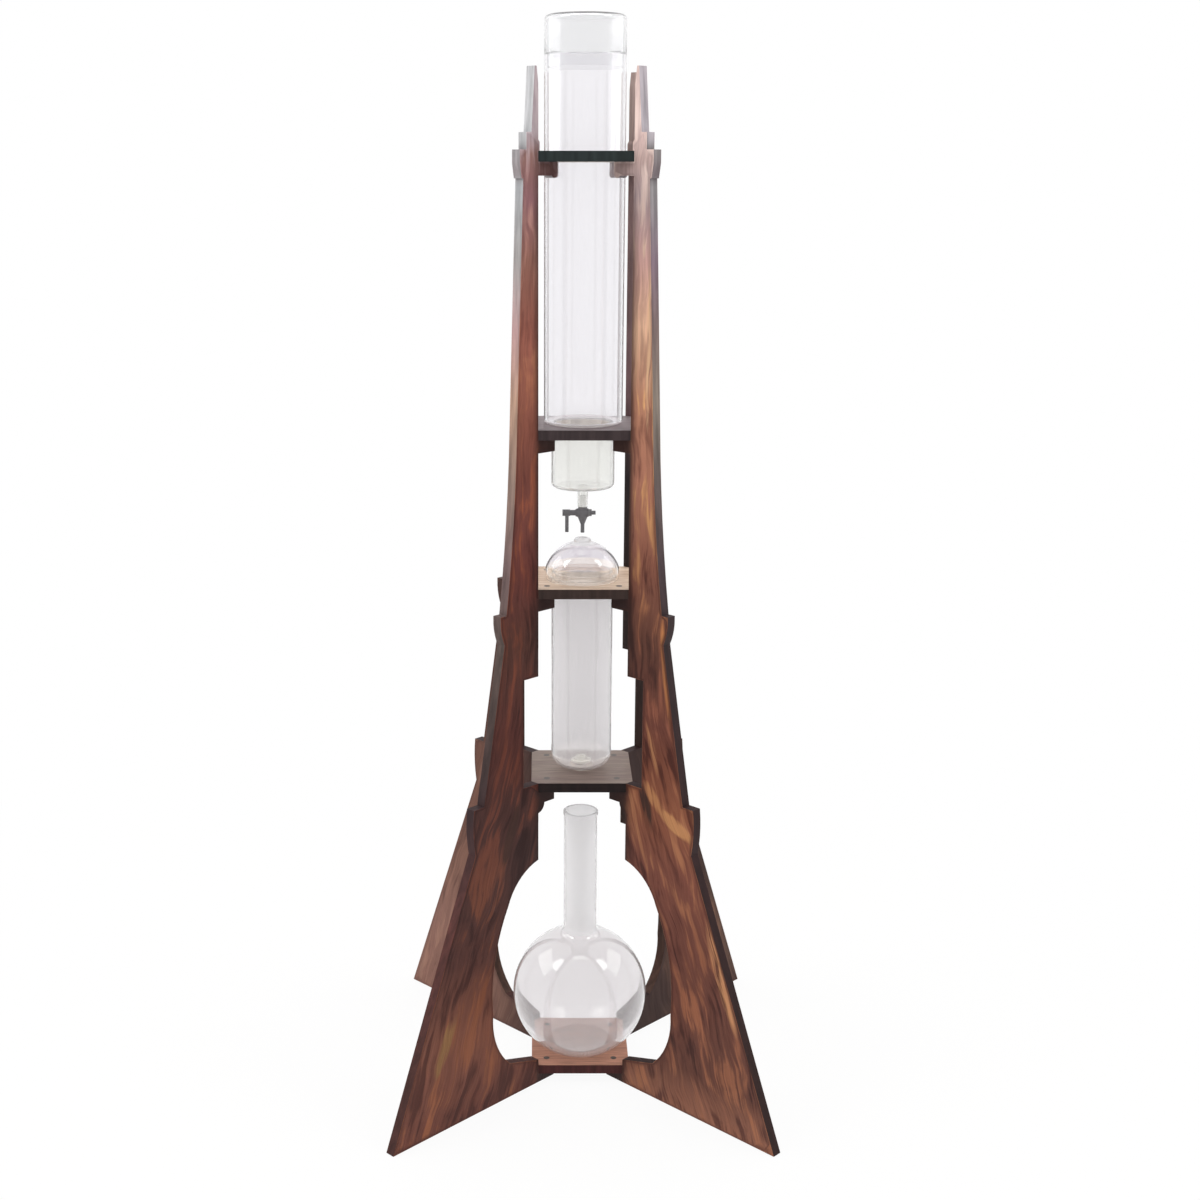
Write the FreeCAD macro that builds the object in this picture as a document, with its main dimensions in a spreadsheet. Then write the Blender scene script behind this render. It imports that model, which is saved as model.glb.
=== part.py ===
import FreeCAD, Part
import Sketcher
import math
import os

# Cold drip coffee tower.
# Four identical plank fins stand on the two diagonals of a 400 mm square. Hooked teeth on their
# inner edges carry five square shelves, and the shelves carry the glassware: a water vessel with
# its drip tap, a coffee chamber with its dome, and the flask that the coffee drips into.
# Millimetres, +Z up, the tower's axis on Z, the floor at Z = 0, the front towards -Y.

# ---------------------------------------------------------------------------------------------
# Driving dimensions. Radii are measured from the tower's axis, levels from the floor.
# ---------------------------------------------------------------------------------------------
SIZES = {
    # planks and shelves
    "fin_thickness": 11.0,
    "inner_edge": 70.0,            # inner edge of a fin
    "foot_reach": 277.3,           # the foot's outer corners lie on a 400 mm square
    "shelf_thickness": 10.0,
    "shelf_half": 53.0,            # half the side of a square shelf
    "shelf_flat": 46.0,            # half the side that is left between the cut corners
    "ring_shelf_top": 983.0,       # the water vessel passes through this shelf
    "vessel_shelf_top": 716.0,     # the water vessel stands on this one
    "chamber_shelf_top": 554.0,    # the coffee chamber hangs in this one
    "drip_shelf_top": 346.0,       # the chamber's drip tip reaches into this one
    "flask_shelf_top": 20.0,       # the flask stands on this one
    # teeth on the inner edge
    "tooth_end": 46.5,
    "tooth_height": 13.0,
    "nose_neck": 44.0,             # top tooth, where its drooping nose begins
    "nose_neck_level": 961.5,
    "nose_back": 51.5,             # top tooth, where the nose runs into its underside
    "nose_radius": 4.0,
    "keeper_edge": 68.0,           # small keeper lip above the top shelf
    "keeper_top": 991.0,
    "keeper_end": 993.5,
    "drip_tooth_curve_start": 61.0,
    "drip_tooth_curve_end": 313.0,
    "drip_tooth_curve": 10.5,
    # spire
    "spire_level": 1060.0,
    "spire_inner": 72.0,
    "spire_outer": 74.4,
    "spire_bevel": 1044.0,
    "spire_foot": 78.8,
    "small_ledge": 85.6,
    "small_ledge_level": 1000.0,
    "top_ledge": 94.3,
    "top_ledge_level": 984.0,
    "top_ledge_end": 971.5,
    "top_corbel_foot": 92.0,
    "top_corbel_level": 957.5,
    # outer edge
    "outer_start": 89.9,
    "outer_bend": 100.3,
    "outer_bend_level": 690.0,
    "outer_sweep": 1750.0,
    "outer_end": 114.6,
    "middle_ledge": 122.8,
    "middle_ledge_level": 534.5,
    "middle_ledge_end": 526.0,
    "middle_corbel": 60.0,
    "middle_corbel_foot": 117.4,
    "middle_corbel_level": 504.5,
    "low_ledge_root": 147.2,
    "low_ledge": 161.2,
    "low_ledge_level": 340.2,
    "low_corbel": 165.0,
    "low_corbel_foot": 159.8,
    "low_corbel_level": 291.0,
    # recess beside the coffee chamber and arch round the flask
    "recess": 91.8,
    "recess_top": 462.5,
    "arch_top": 260.8,
    "arch_shoulder": 114.0,
    "arch_shoulder_level": 222.0,
    "arch_shoulder_radius": 62.0,
    "arch_side": 137.0,
    "arch_side_level": 105.0,
    "arch_side_radius": 207.0,
    "arch_foot": 113.0,
    "arch_foot_level": 39.5,
    "arch_foot_radius": 80.0,
    "beam_end_level": 27.0,
    # screws
    "screw_reach": 52.0,
    "screw_radius": 1.7,
    "screw_head": 3.3,
    "screw_length": 18.0,
    "screw_point": 4.0,
    "pilot_depth": 8.0,
    # shelf holes
    "ring_hole": 42.0,
    "vessel_hole": 33.5,
    "chamber_hole": 33.0,
    "drip_hole": 14.0,
    # water vessel
    "glass_wall": 2.5,
    "vessel_radius": 40.0,
    "vessel_rim": 1073.5,
    "vessel_base_round": 3.5,
    "neck_radius": 32.3,
    "neck_bottom": 650.0,
    "neck_round": 5.5,
    "stem_radius": 5.4,
    "stem_bore": 2.5,
    "stem_bottom": 629.5,
    "sleeve_radius": 4.0,
    "sleeve_top": 641.5,
    # vessel lid
    "lid_top": 1110.0,
    "lid_round": 5.0,
    "collar_radius": 37.0,
    "collar_bottom": 1061.0,
    "collar_top": 1077.0,
    "collar_flare": 1080.0,
    # drip tap
    "tap_axis": 623.0,
    "tap_barrel": 5.2,
    "tap_barrel_middle": 4.9,      # half the length of the barrel's thick middle
    "tap_barrel_end": 4.3,
    "tap_barrel_half": 6.1,
    "tap_neck": 4.6,
    "tap_cone_top": 619.0,
    "tap_cone_bottom": 611.0,
    "tap_nozzle": 2.0,
    "tap_nozzle_tip": 602.3,
    "tap_bore": 0.9,
    "tap_inlet": 2.4,
    "tap_inlet_bore": 1.2,
    "tap_inlet_top": 641.0,
    "plug_radius": 3.15,
    "plug_bore": 3.2,
    "plug_collar": 3.9,
    "plug_collar_width": 1.2,
    "plug_arm": 2.9,
    "plug_spigot": 2.0,            # the lever's hub is pressed onto this end
    "plug_thread": 2.1,
    "plug_tip": 13.4,
    "groove_radius": 2.45,
    "groove_half": 0.6,
    "groove_place": 4.9,
    "seal_radius": 0.35,
    "washer_radius": 3.7,
    "washer_thickness": 0.8,
    "nut_radius": 3.7,
    "nut_thickness": 2.4,
    "hub_radius": 3.4,
    "hub_start": 12.8,
    "hub_end": 20.8,
    "lever_inner": 14.4,
    "lever_outer": 18.0,
    "lever_half_width": 2.8,
    "lever_end": 605.4,            # middle of its rounded end
    # dome
    "dome_radius": 38.4,
    "dome_wall": 2.0,
    "dome_skirt": 565.1,           # top of its short upright skirt
    "dome_sphere": 40.2,
    "dome_ring": 9.0,              # thickened ring round the drip hole
    "dome_ring_foot": 592.4,
    "dome_ring_top": 596.8,
    "dome_ring_round": 3.0,
    "dome_hole": 4.5,
    "dome_inner_sphere": 38.2,
    "dome_inner_skirt": 564.8,
    "dome_inner_top": 591.1,
    # coffee chamber
    "chamber_radius": 32.0,
    "chamber_rim": 562.0,
    "flange_radius": 35.4,
    "flange_thickness": 3.0,
    "chamber_bottom": 348.0,
    "chamber_round": 16.0,
    "outlet_radius": 7.6,          # glass cup under the chamber that holds the filter's stem
    "outlet_bore": 5.6,
    "outlet_bottom": 338.5,
    "outlet_floor": 2.0,
    "drip_bore": 2.0,
    "filter_foot": 10.5,           # the filter's head is stepped: foot, waist and crown
    "filter_foot_thickness": 2.5,
    "filter_waist": 7.4,
    "filter_waist_height": 2.0,
    "filter_crown": 5.2,
    "filter_crown_height": 2.0,
    "filter_stem": 5.3,
    "filter_stem_bottom": 342.0,
    "filter_dimple": 3.0,
    "filter_dimple_depth": 1.5,
    "filter_ring": 8.0,            # silicone ring that the filter's foot seals on
    "filter_ring_thickness": 1.5,
    # flask
    "flask_wall": 2.0,
    "flask_rim": 296.0,
    "flask_neck": 18.0,
    "flask_lip": 18.9,
    "flask_lip_height": 4.0,
    "flask_sphere": 73.5,
    "flask_shoulder": 154.76,
    "flask_foot": 37.0,
    "flask_neck_round": 10.0,
    "flask_inner_sphere": 71.5,
    "flask_inner_shoulder": 153.19,
    "flask_inner_foot": 37.09,
}

doc = FreeCAD.newDocument("ColdDripTower")
sheet = doc.addObject("Spreadsheet::Sheet", "Sizes")
for row, (size_name, value) in enumerate(SIZES.items(), start=1):
    sheet.set(f"A{row}", size_name)
    sheet.set(f"B{row}", str(value))
    sheet.setAlias(f"B{row}", size_name)
doc.recompute()

parts = []


# ---------------------------------------------------------------------------------------------
# Helpers. A text such as "flask_rim - flask_wall" is a sum of sizes: amount() gives its number,
# and formula() gives the expression that keeps a property tied to the spreadsheet.
# ---------------------------------------------------------------------------------------------
def amount(text):
    result, sign = 0.0, 1.0
    for word in text.split():
        if word in ("+", "-"):
            sign = 1.0 if word == "+" else -1.0
        elif word != "0":
            result += sign * SIZES[word]
    return result


def formula(text):
    words = [word if word in ("+", "-", "0") else "Sizes." + word for word in text.split()]
    return " ".join(words)


def bind(thing, **sizes):
    """Set each named property and tie it to the spreadsheet."""
    for name, text in sizes.items():
        setattr(thing, name, amount(text))
        thing.setExpression(name, formula(text))


def place(thing, x="0", y="0", z="0", axis=None, angle=0.0):
    """Put an object at a point given as sums of sizes, turned about an axis."""
    turn = FreeCAD.Rotation(FreeCAD.Vector(*(axis or (0, 0, 1))), angle)
    thing.Placement = FreeCAD.Placement(FreeCAD.Vector(amount(x), amount(y), amount(z)), turn)
    for letter, text in (("x", x), ("y", y), ("z", z)):
        if text != "0":
            thing.setExpression("Placement.Base." + letter, formula(text))
    return thing


def new_body(name):
    body = doc.addObject("PartDesign::Body", name)
    body.Label = name
    return body


def new_sketch(body, name, plane):
    sketch = body.newObject("Sketcher::SketchObject", name)
    role = plane + "_Plane"
    support = [feature for feature in body.Origin.OriginFeatures if feature.Role == role][0]
    sketch.AttachmentSupport = [(support, "")]
    sketch.MapMode = "FlatFace"
    return sketch


def arc_between(start, end, radius, bulge):
    """The shorter arc from start to end. It bulges to the left of the way for 'left'."""
    chord = end - start
    middle = (start + end) * 0.5
    left = FreeCAD.Vector(-chord.y, chord.x, 0).normalize()
    depth = math.sqrt(radius ** 2 - (chord.Length / 2) ** 2)
    centre = middle - left * depth if bulge == "left" else middle + left * depth
    first, last = (end, start) if bulge == "left" else (start, end)
    circle = Part.Circle(centre, FreeCAD.Vector(0, 0, 1), radius)
    begin = math.atan2(first.y - centre.y, first.x - centre.x)
    finish = math.atan2(last.y - centre.y, last.x - centre.x)
    return Part.ArcOfCircle(circle, begin, finish)


def outline(body, name, plane, corners):
    """Closed, fully constrained outline through corners. A corner is (across, up), or
    (across, up, radius, bulge) where an arc leads on to the next corner."""
    sketch = new_sketch(body, name, plane)
    points = [FreeCAD.Vector(amount(corner[0]), amount(corner[1]), 0) for corner in corners]
    edges, ends = [], []
    for index, corner in enumerate(corners):
        start, end = points[index], points[(index + 1) % len(points)]
        if len(corner) == 4:
            edges.append(arc_between(start, end, amount(corner[2]), corner[3]))
            ends.append((2, 1) if corner[3] == "left" else (1, 2))
        else:
            edges.append(Part.LineSegment(start, end))
            ends.append((1, 2))
    sketch.addGeometry(edges, False)
    rules, names = [], []
    for index, corner in enumerate(corners):
        follower = (index + 1) % len(corners)
        rules.append(Sketcher.Constraint("Coincident", index, ends[index][1], follower, ends[follower][0]))
        names.append(None)
        for way, axis, text, value in (("DistanceX", -2, corner[0], points[index].x),
                                       ("DistanceY", -1, corner[1], points[index].y)):
            if text == "0":
                rules.append(Sketcher.Constraint("PointOnObject", index, ends[index][0], axis))
                names.append(None)
            else:
                rules.append(Sketcher.Constraint(way, -1, 1, index, ends[index][0], value))
                names.append((f"{way}_{index}", text))
        if len(corner) == 4:
            rules.append(Sketcher.Constraint("Radius", index, amount(corner[2])))
            names.append((f"Radius_{index}", corner[2]))
    sketch.addConstraint(rules)
    for number, named in enumerate(names):
        if named:
            sketch.renameConstraint(number, named[0])
            sketch.setExpression("Constraints." + named[0], formula(named[1]))
    return sketch


def whole_turn(body, name, sketch):
    turned = body.newObject("PartDesign::Revolution", name)
    turned.Profile = sketch
    turned.ReferenceAxis = (sketch, ["V_Axis"])
    turned.Angle = 360.0
    sketch.Visibility = False
    return turned


def circular_edges(shape, radius, level):
    """Names of the round edges with this radius about any upright axis at this level."""
    found = []
    for number, edge in enumerate(shape.Edges, start=1):
        curve = edge.Curve
        if curve.TypeId == "Part::GeomCircle" and abs(abs(curve.Axis.z) - 1.0) < 1e-6:
            if abs(curve.Radius - radius) < 1e-3 and abs(curve.Center.z - level) < 1e-3:
                found.append(f"Edge{number}")
    return found


def round_edge(body, name, radius, level, size, kind="Fillet"):
    """Round (or chamfer) the circular edges at a radius and level, both sums of sizes."""
    doc.recompute()
    tip = body.Tip
    edges = circular_edges(tip.Shape, amount(radius), amount(level))
    if not edges:
        raise ValueError(f"{body.Label}: no edge of radius {radius} at {level}")
    eased = body.newObject("PartDesign::" + kind, name)
    eased.Base = (tip, edges)
    bind(eased, **{"Radius" if kind == "Fillet" else "Size": size})
    return eased


def keep(thing, name):
    """List a finished sub-part for the checks and the export."""
    thing.Label = name
    parts.append((thing, name))
    return thing


def round_bar(name, radius, start, end, along="x", across="0", level="0"):
    """Cylinder along X from start to end, or along Z, with all its sizes tied to the sheet."""
    bar = doc.addObject("Part::Cylinder", name)
    bind(bar, Radius=radius)
    bar.Height = amount(end) - amount(start)
    bar.setExpression("Height", f"({formula(end)}) - ({formula(start)})")
    if along == "x":
        return place(bar, x=start, y=across, z=level, axis=(0, 1, 0), angle=90.0)
    return place(bar, x=across, z=start)


def taper(name, bottom_radius, top_radius, bottom, top):
    cone = doc.addObject("Part::Cone", name)
    bind(cone, Radius1=bottom_radius, Radius2=top_radius)
    cone.Height = amount(top) - amount(bottom)
    cone.setExpression("Height", f"({formula(top)}) - ({formula(bottom)})")
    return place(cone, z=bottom)


def joined(name, pieces):
    fused = doc.addObject("Part::MultiFuse", name)
    fused.Shapes = pieces
    return fused


def cut_from(name, base, tool):
    cut = doc.addObject("Part::Cut", name)
    cut.Base, cut.Tool = base, tool
    return cut


# ---------------------------------------------------------------------------------------------
# Fins. The outline runs clockwise from the spire: down the stepped outer edge to the foot, in
# along the floor, and up the inner edge past the arch, the recess and the five teeth.
# ---------------------------------------------------------------------------------------------
FIN_OUTER_EDGE = [
    ("spire_inner", "spire_level"),
    ("spire_outer", "spire_level"),
    ("spire_foot", "small_ledge_level"),
    ("small_ledge", "small_ledge_level"),
    ("small_ledge", "top_ledge_level"),
    ("top_ledge", "top_ledge_level"),
    ("top_ledge", "top_ledge_end"),
    ("top_corbel_foot", "top_corbel_level"),
    ("outer_start", "top_corbel_level"),
    ("outer_bend", "outer_bend_level", "outer_sweep", "right"),
    ("outer_end", "middle_ledge_level"),
    ("middle_ledge", "middle_ledge_level"),
    ("middle_ledge", "middle_ledge_end", "middle_corbel", "left"),
    ("middle_corbel_foot", "middle_corbel_level"),
    ("low_ledge_root", "low_ledge_level"),
    ("low_ledge", "low_ledge_level", "low_corbel", "left"),
    ("low_corbel_foot", "low_corbel_level"),
    ("foot_reach", "0"),
]
FIN_FLASK_SIDE = [
    ("tooth_end", "0"),
    ("tooth_end", "flask_shelf_top - shelf_thickness"),
    ("inner_edge", "flask_shelf_top - shelf_thickness"),
    ("inner_edge", "beam_end_level"),
    ("arch_foot", "arch_foot_level", "arch_foot_radius", "right"),
    ("arch_side", "arch_side_level", "arch_side_radius", "right"),
    ("arch_shoulder", "arch_shoulder_level", "arch_shoulder_radius", "right"),
    ("inner_edge", "arch_top"),
    ("inner_edge", "drip_tooth_curve_end", "drip_tooth_curve", "left"),
    ("drip_tooth_curve_start", "drip_shelf_top - shelf_thickness - tooth_height"),
    ("tooth_end", "drip_shelf_top - shelf_thickness - tooth_height"),
    ("tooth_end", "drip_shelf_top - shelf_thickness"),
    ("inner_edge", "drip_shelf_top - shelf_thickness"),
    ("inner_edge", "drip_shelf_top"),
    ("recess", "drip_shelf_top"),
    ("recess", "recess_top"),
    ("inner_edge", "recess_top"),
]
TOP_TOOTH = [
    ("inner_edge", "ring_shelf_top - shelf_thickness - tooth_height"),
    ("nose_back", "ring_shelf_top - shelf_thickness - tooth_height", "nose_radius", "left"),
    ("nose_neck", "nose_neck_level"),
    ("nose_neck", "ring_shelf_top - shelf_thickness"),
    ("inner_edge", "ring_shelf_top - shelf_thickness"),
    ("inner_edge", "ring_shelf_top"),
    ("keeper_edge", "ring_shelf_top"),
    ("keeper_edge", "keeper_top"),
    ("inner_edge", "keeper_end"),
    ("inner_edge", "spire_bevel"),
]
SHELF_LEVELS = ["ring_shelf_top", "vessel_shelf_top", "chamber_shelf_top",
                "drip_shelf_top", "flask_shelf_top"]


def plain_tooth(shelf_top):
    """Square bracket under one shelf, from its underside up to the shelf's."""
    under = f"{shelf_top} - shelf_thickness"
    return [
        ("inner_edge", under + " - tooth_height"),
        ("tooth_end", under + " - tooth_height"),
        ("tooth_end", under),
        ("inner_edge", under),
    ]


def fin(name, heading):
    """One plank fin, drawn in the XZ plane and turned about the tower's axis to its heading."""
    body = new_body(name)
    corners = (FIN_OUTER_EDGE + FIN_FLASK_SIDE + plain_tooth("chamber_shelf_top")
               + plain_tooth("vessel_shelf_top") + TOP_TOOTH)
    sketch = outline(body, name + "_outline", "XZ", corners)
    board = body.newObject("PartDesign::Pad", name + "_board")
    board.Profile = sketch
    board.SideType = "Symmetric"
    bind(board, Length="fin_thickness")
    sketch.Visibility = False
    for shelf in SHELF_LEVELS:
        pilot = body.newObject("PartDesign::SubtractiveCylinder", f"{name}_pilot_{shelf}")
        bind(pilot, Radius="screw_radius", Height="pilot_depth")
        place(pilot, x="screw_reach", z=f"{shelf} - shelf_thickness - pilot_depth")
    body.Placement = FreeCAD.Placement(FreeCAD.Vector(),
                                       FreeCAD.Rotation(FreeCAD.Vector(0, 0, 1), heading))
    return keep(body, name)


FIN_HEADINGS = {"fin_back_right": 45.0, "fin_back_left": 135.0,
                "fin_front_left": 225.0, "fin_front_right": 315.0}
for fin_name, fin_heading in FIN_HEADINGS.items():
    fin(fin_name, fin_heading)


# ---------------------------------------------------------------------------------------------
# Shelves: squares with the corners cut to meet the fins, and one countersunk screw per corner.
# ---------------------------------------------------------------------------------------------
def shelf(name, top, hole=None):
    body = new_body(name)
    half, flat = "shelf_half", "shelf_flat"
    corners = [(half, flat), (flat, half), ("- " + flat, half), ("- " + half, flat),
               ("- " + half, "- " + flat), ("- " + flat, "- " + half), (flat, "- " + half),
               (half, "- " + flat)]
    sketch = outline(body, name + "_outline", "XY", corners)
    board = body.newObject("PartDesign::Pad", name + "_board")
    board.Profile = sketch
    bind(board, Length="shelf_thickness")
    sketch.Visibility = False
    if hole:
        opening = body.newObject("PartDesign::SubtractiveCylinder", name + "_hole")
        bind(opening, Radius=hole, Height="shelf_thickness")
    screw_hole = body.newObject("PartDesign::SubtractiveCylinder", name + "_screw_hole")
    bind(screw_hole, Radius="screw_radius", Height="shelf_thickness")
    countersink = body.newObject("PartDesign::SubtractiveCone", name + "_countersink")
    bind(countersink, Radius1="screw_radius", Radius2="screw_head",
         Height="screw_head - screw_radius")
    for tool, lift in ((screw_hole, "0"), (countersink, "shelf_thickness - screw_head + screw_radius")):
        corner_turn = FreeCAD.Rotation(FreeCAD.Vector(0, 0, 1), 45.0)
        spot = corner_turn.multVec(FreeCAD.Vector(amount("screw_reach"), 0, amount(lift)))
        tool.Placement = FreeCAD.Placement(spot, corner_turn)
        tool.setExpression("Placement.Base.x", "Sizes.screw_reach * cos(45 deg)")
        tool.setExpression("Placement.Base.y", "Sizes.screw_reach * sin(45 deg)")
    doc.recompute()
    pattern = body.newObject("PartDesign::PolarPattern", name + "_screw_pattern")
    pattern.Originals = [screw_hole, countersink]
    pattern.Axis = (sketch, ["N_Axis"])
    pattern.Angle = 360.0
    pattern.Occurrences = 4
    body.Tip = pattern
    place(body, z=top + " - shelf_thickness")
    return keep(body, name)


shelf("ring_shelf", "ring_shelf_top", "ring_hole")
shelf("vessel_shelf", "vessel_shelf_top", "vessel_hole")
shelf("chamber_shelf", "chamber_shelf_top", "chamber_hole")
shelf("drip_shelf", "drip_shelf_top", "drip_hole")
shelf("flask_shelf", "flask_shelf_top")


def screw_set(name, top):
    """Four countersunk wood screws, one through each corner of a shelf into its tooth."""
    head_depth = SIZES["screw_head"] - SIZES["screw_radius"]
    shank_end = SIZES["screw_point"] - SIZES["screw_length"]
    down = FreeCAD.Vector(0, 0, -1)
    head = Part.makeCone(SIZES["screw_head"], SIZES["screw_radius"], head_depth,
                         FreeCAD.Vector(), down)
    shank = Part.makeCylinder(SIZES["screw_radius"], -head_depth - shank_end,
                              FreeCAD.Vector(0, 0, -head_depth), down)
    point = Part.makeCone(SIZES["screw_radius"], 0.0, SIZES["screw_point"],
                          FreeCAD.Vector(0, 0, shank_end), down)
    screw = head.fuse([shank, point]).removeSplitter()
    screw.translate(FreeCAD.Vector(SIZES["screw_reach"], 0, 0))
    copies = []
    for heading in FIN_HEADINGS.values():
        copy = screw.copy()
        copy.rotate(FreeCAD.Vector(), FreeCAD.Vector(0, 0, 1), heading)
        copies.append(copy)
    group = doc.addObject("Part::Feature", name)
    group.Shape = Part.makeCompound(copies)
    place(group, z=top)
    return keep(group, name)


for shelf_top in SHELF_LEVELS:
    screw_set(shelf_top.replace("_top", "_screws"), shelf_top)


# ---------------------------------------------------------------------------------------------
# Glassware: each wall is one closed outline turned about the tower's axis.
# ---------------------------------------------------------------------------------------------
def turned_part(name, corners):
    body = new_body(name)
    whole_turn(body, name + "_wall", outline(body, name + "_outline", "XZ", corners))
    return body


vessel = turned_part("water_vessel", [
    ("vessel_radius", "vessel_rim"),
    ("vessel_radius - glass_wall", "vessel_rim"),
    ("vessel_radius - glass_wall", "vessel_shelf_top + glass_wall"),
    ("neck_radius - glass_wall", "vessel_shelf_top + glass_wall"),
    ("neck_radius - glass_wall", "neck_bottom + glass_wall"),
    ("stem_bore", "neck_bottom + glass_wall"),
    ("stem_bore", "sleeve_top"),
    ("sleeve_radius", "sleeve_top"),
    ("sleeve_radius", "stem_bottom"),
    ("stem_radius", "stem_bottom"),
    ("stem_radius", "neck_bottom"),
    ("neck_radius", "neck_bottom"),
    ("neck_radius", "vessel_shelf_top"),
    ("vessel_radius", "vessel_shelf_top"),
])
round_edge(vessel, "vessel_base_edge", "vessel_radius", "vessel_shelf_top", "vessel_base_round")
round_edge(vessel, "neck_bottom_edge", "neck_radius", "neck_bottom", "neck_round")
round_edge(vessel, "neck_bottom_inside", "neck_radius - glass_wall", "neck_bottom + glass_wall",
           "neck_round - glass_wall")
keep(vessel, "water_vessel")

lid = turned_part("vessel_lid", [
    ("0", "lid_top"),
    ("0", "lid_top - glass_wall"),
    ("vessel_radius - glass_wall", "lid_top - glass_wall"),
    ("vessel_radius - glass_wall", "collar_flare"),
    ("collar_radius - glass_wall", "collar_top"),
    ("collar_radius - glass_wall", "collar_bottom"),
    ("collar_radius", "collar_bottom"),
    ("collar_radius", "vessel_rim"),
    ("vessel_radius", "vessel_rim"),
    ("vessel_radius", "lid_top"),
])
round_edge(lid, "lid_top_edge", "vessel_radius", "lid_top", "lid_round")
round_edge(lid, "lid_inside_edge", "vessel_radius - glass_wall", "lid_top - glass_wall",
           "lid_round - glass_wall")
keep(lid, "vessel_lid")

dome = turned_part("dome_lid", [
    ("dome_radius", "chamber_shelf_top"),
    ("dome_radius", "dome_skirt", "dome_sphere", "right"),
    ("dome_ring", "dome_ring_foot"),
    ("dome_ring", "dome_ring_top"),
    ("dome_hole", "dome_ring_top"),
    ("dome_hole", "dome_inner_top", "dome_inner_sphere", "left"),
    ("dome_radius - dome_wall", "dome_inner_skirt"),
    ("dome_radius - dome_wall", "chamber_shelf_top"),
])
round_edge(dome, "dome_ring_edge", "dome_ring", "dome_ring_top", "dome_ring_round")
keep(dome, "dome_lid")

chamber = turned_part("coffee_chamber", [
    ("chamber_radius", "chamber_rim"),
    ("chamber_radius - glass_wall", "chamber_rim"),
    ("chamber_radius - glass_wall", "chamber_bottom + glass_wall"),
    ("outlet_bore", "chamber_bottom + glass_wall"),
    ("outlet_bore", "outlet_bottom + outlet_floor"),
    ("drip_bore", "outlet_bottom + outlet_floor"),
    ("drip_bore", "outlet_bottom"),
    ("outlet_radius", "outlet_bottom"),
    ("outlet_radius", "chamber_bottom"),
    ("chamber_radius", "chamber_bottom"),
    ("chamber_radius", "chamber_shelf_top"),
    ("flange_radius", "chamber_shelf_top"),
    ("flange_radius", "chamber_shelf_top + flange_thickness"),
    ("chamber_radius", "chamber_shelf_top + flange_thickness"),
])
round_edge(chamber, "chamber_bottom_edge", "chamber_radius", "chamber_bottom", "chamber_round")
round_edge(chamber, "chamber_bottom_inside", "chamber_radius - glass_wall",
           "chamber_bottom + glass_wall", "chamber_round - glass_wall")
keep(chamber, "coffee_chamber")

filter_ring = turned_part("filter_ring", [
    ("outlet_bore", "chamber_bottom + glass_wall"),
    ("filter_ring", "chamber_bottom + glass_wall"),
    ("filter_ring", "chamber_bottom + glass_wall + filter_ring_thickness"),
    ("outlet_bore", "chamber_bottom + glass_wall + filter_ring_thickness"),
])
keep(filter_ring, "filter_ring")

# The filter's foot rests on the ring, and its stem hangs free in the outlet cup.
filter_seat = "chamber_bottom + glass_wall + filter_ring_thickness"
foot_top = filter_seat + " + filter_foot_thickness"
waist_top = foot_top + " + filter_waist_height"
filter_top = waist_top + " + filter_crown_height"
drip_filter = turned_part("drip_filter", [
    ("0", "filter_stem_bottom"),
    ("filter_stem", "filter_stem_bottom"),
    ("filter_stem", filter_seat),
    ("filter_foot", filter_seat),
    ("filter_foot", foot_top),
    ("filter_waist", foot_top),
    ("filter_waist", waist_top),
    ("filter_crown", waist_top),
    ("filter_crown", filter_top),
    ("filter_dimple", filter_top),
    ("filter_dimple", filter_top + " - filter_dimple_depth"),
    ("0", filter_top + " - filter_dimple_depth"),
])
keep(drip_filter, "drip_filter")

flask = turned_part("flask", [
    ("flask_lip", "flask_rim"),
    ("flask_neck - flask_wall", "flask_rim"),
    ("flask_neck - flask_wall", "flask_inner_shoulder", "flask_inner_sphere", "left"),
    ("flask_inner_foot", "flask_shelf_top + flask_wall"),
    ("0", "flask_shelf_top + flask_wall"),
    ("0", "flask_shelf_top"),
    ("flask_foot", "flask_shelf_top", "flask_sphere", "right"),
    ("flask_neck", "flask_shoulder"),
    ("flask_neck", "flask_rim - flask_lip_height"),
    ("flask_lip", "flask_rim - flask_lip_height"),
])
round_edge(flask, "neck_root", "flask_neck", "flask_shoulder", "flask_neck_round")
keep(flask, "flask")

# ---------------------------------------------------------------------------------------------
# Drip tap: a moulded body with a level barrel, a plug that turns in it, and the plug's lever.
# ---------------------------------------------------------------------------------------------
tap_outside = joined("tap_outside", [
    round_bar("tap_barrel_thick", "tap_barrel", "- tap_barrel_middle", "tap_barrel_middle",
              level="tap_axis"),
    round_bar("tap_barrel_ends", "tap_barrel_end", "- tap_barrel_half", "tap_barrel_half",
              level="tap_axis"),
    taper("tap_cone", "tap_nozzle", "tap_barrel", "tap_cone_bottom", "tap_cone_top"),
    round_bar("tap_throat", "tap_barrel", "tap_cone_top", "tap_axis", along="z"),
    round_bar("tap_neck_outside", "tap_neck", "tap_axis", "stem_bottom", along="z"),
    round_bar("tap_inlet_outside", "tap_inlet", "tap_axis", "tap_inlet_top", along="z"),
    round_bar("tap_nozzle_outside", "tap_nozzle", "tap_nozzle_tip", "tap_cone_bottom", along="z"),
])
tap_hollow = joined("tap_hollow", [
    round_bar("tap_plug_bore", "plug_bore", "- tap_barrel_half", "tap_barrel_half",
              level="tap_axis"),
    round_bar("tap_inlet_hole", "tap_inlet_bore", "tap_axis", "tap_inlet_top", along="z"),
    round_bar("tap_outlet_hole", "tap_bore", "tap_nozzle_tip", "tap_axis", along="z"),
])
keep(cut_from("tap_body", tap_outside, tap_hollow), "tap_body")

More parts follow.
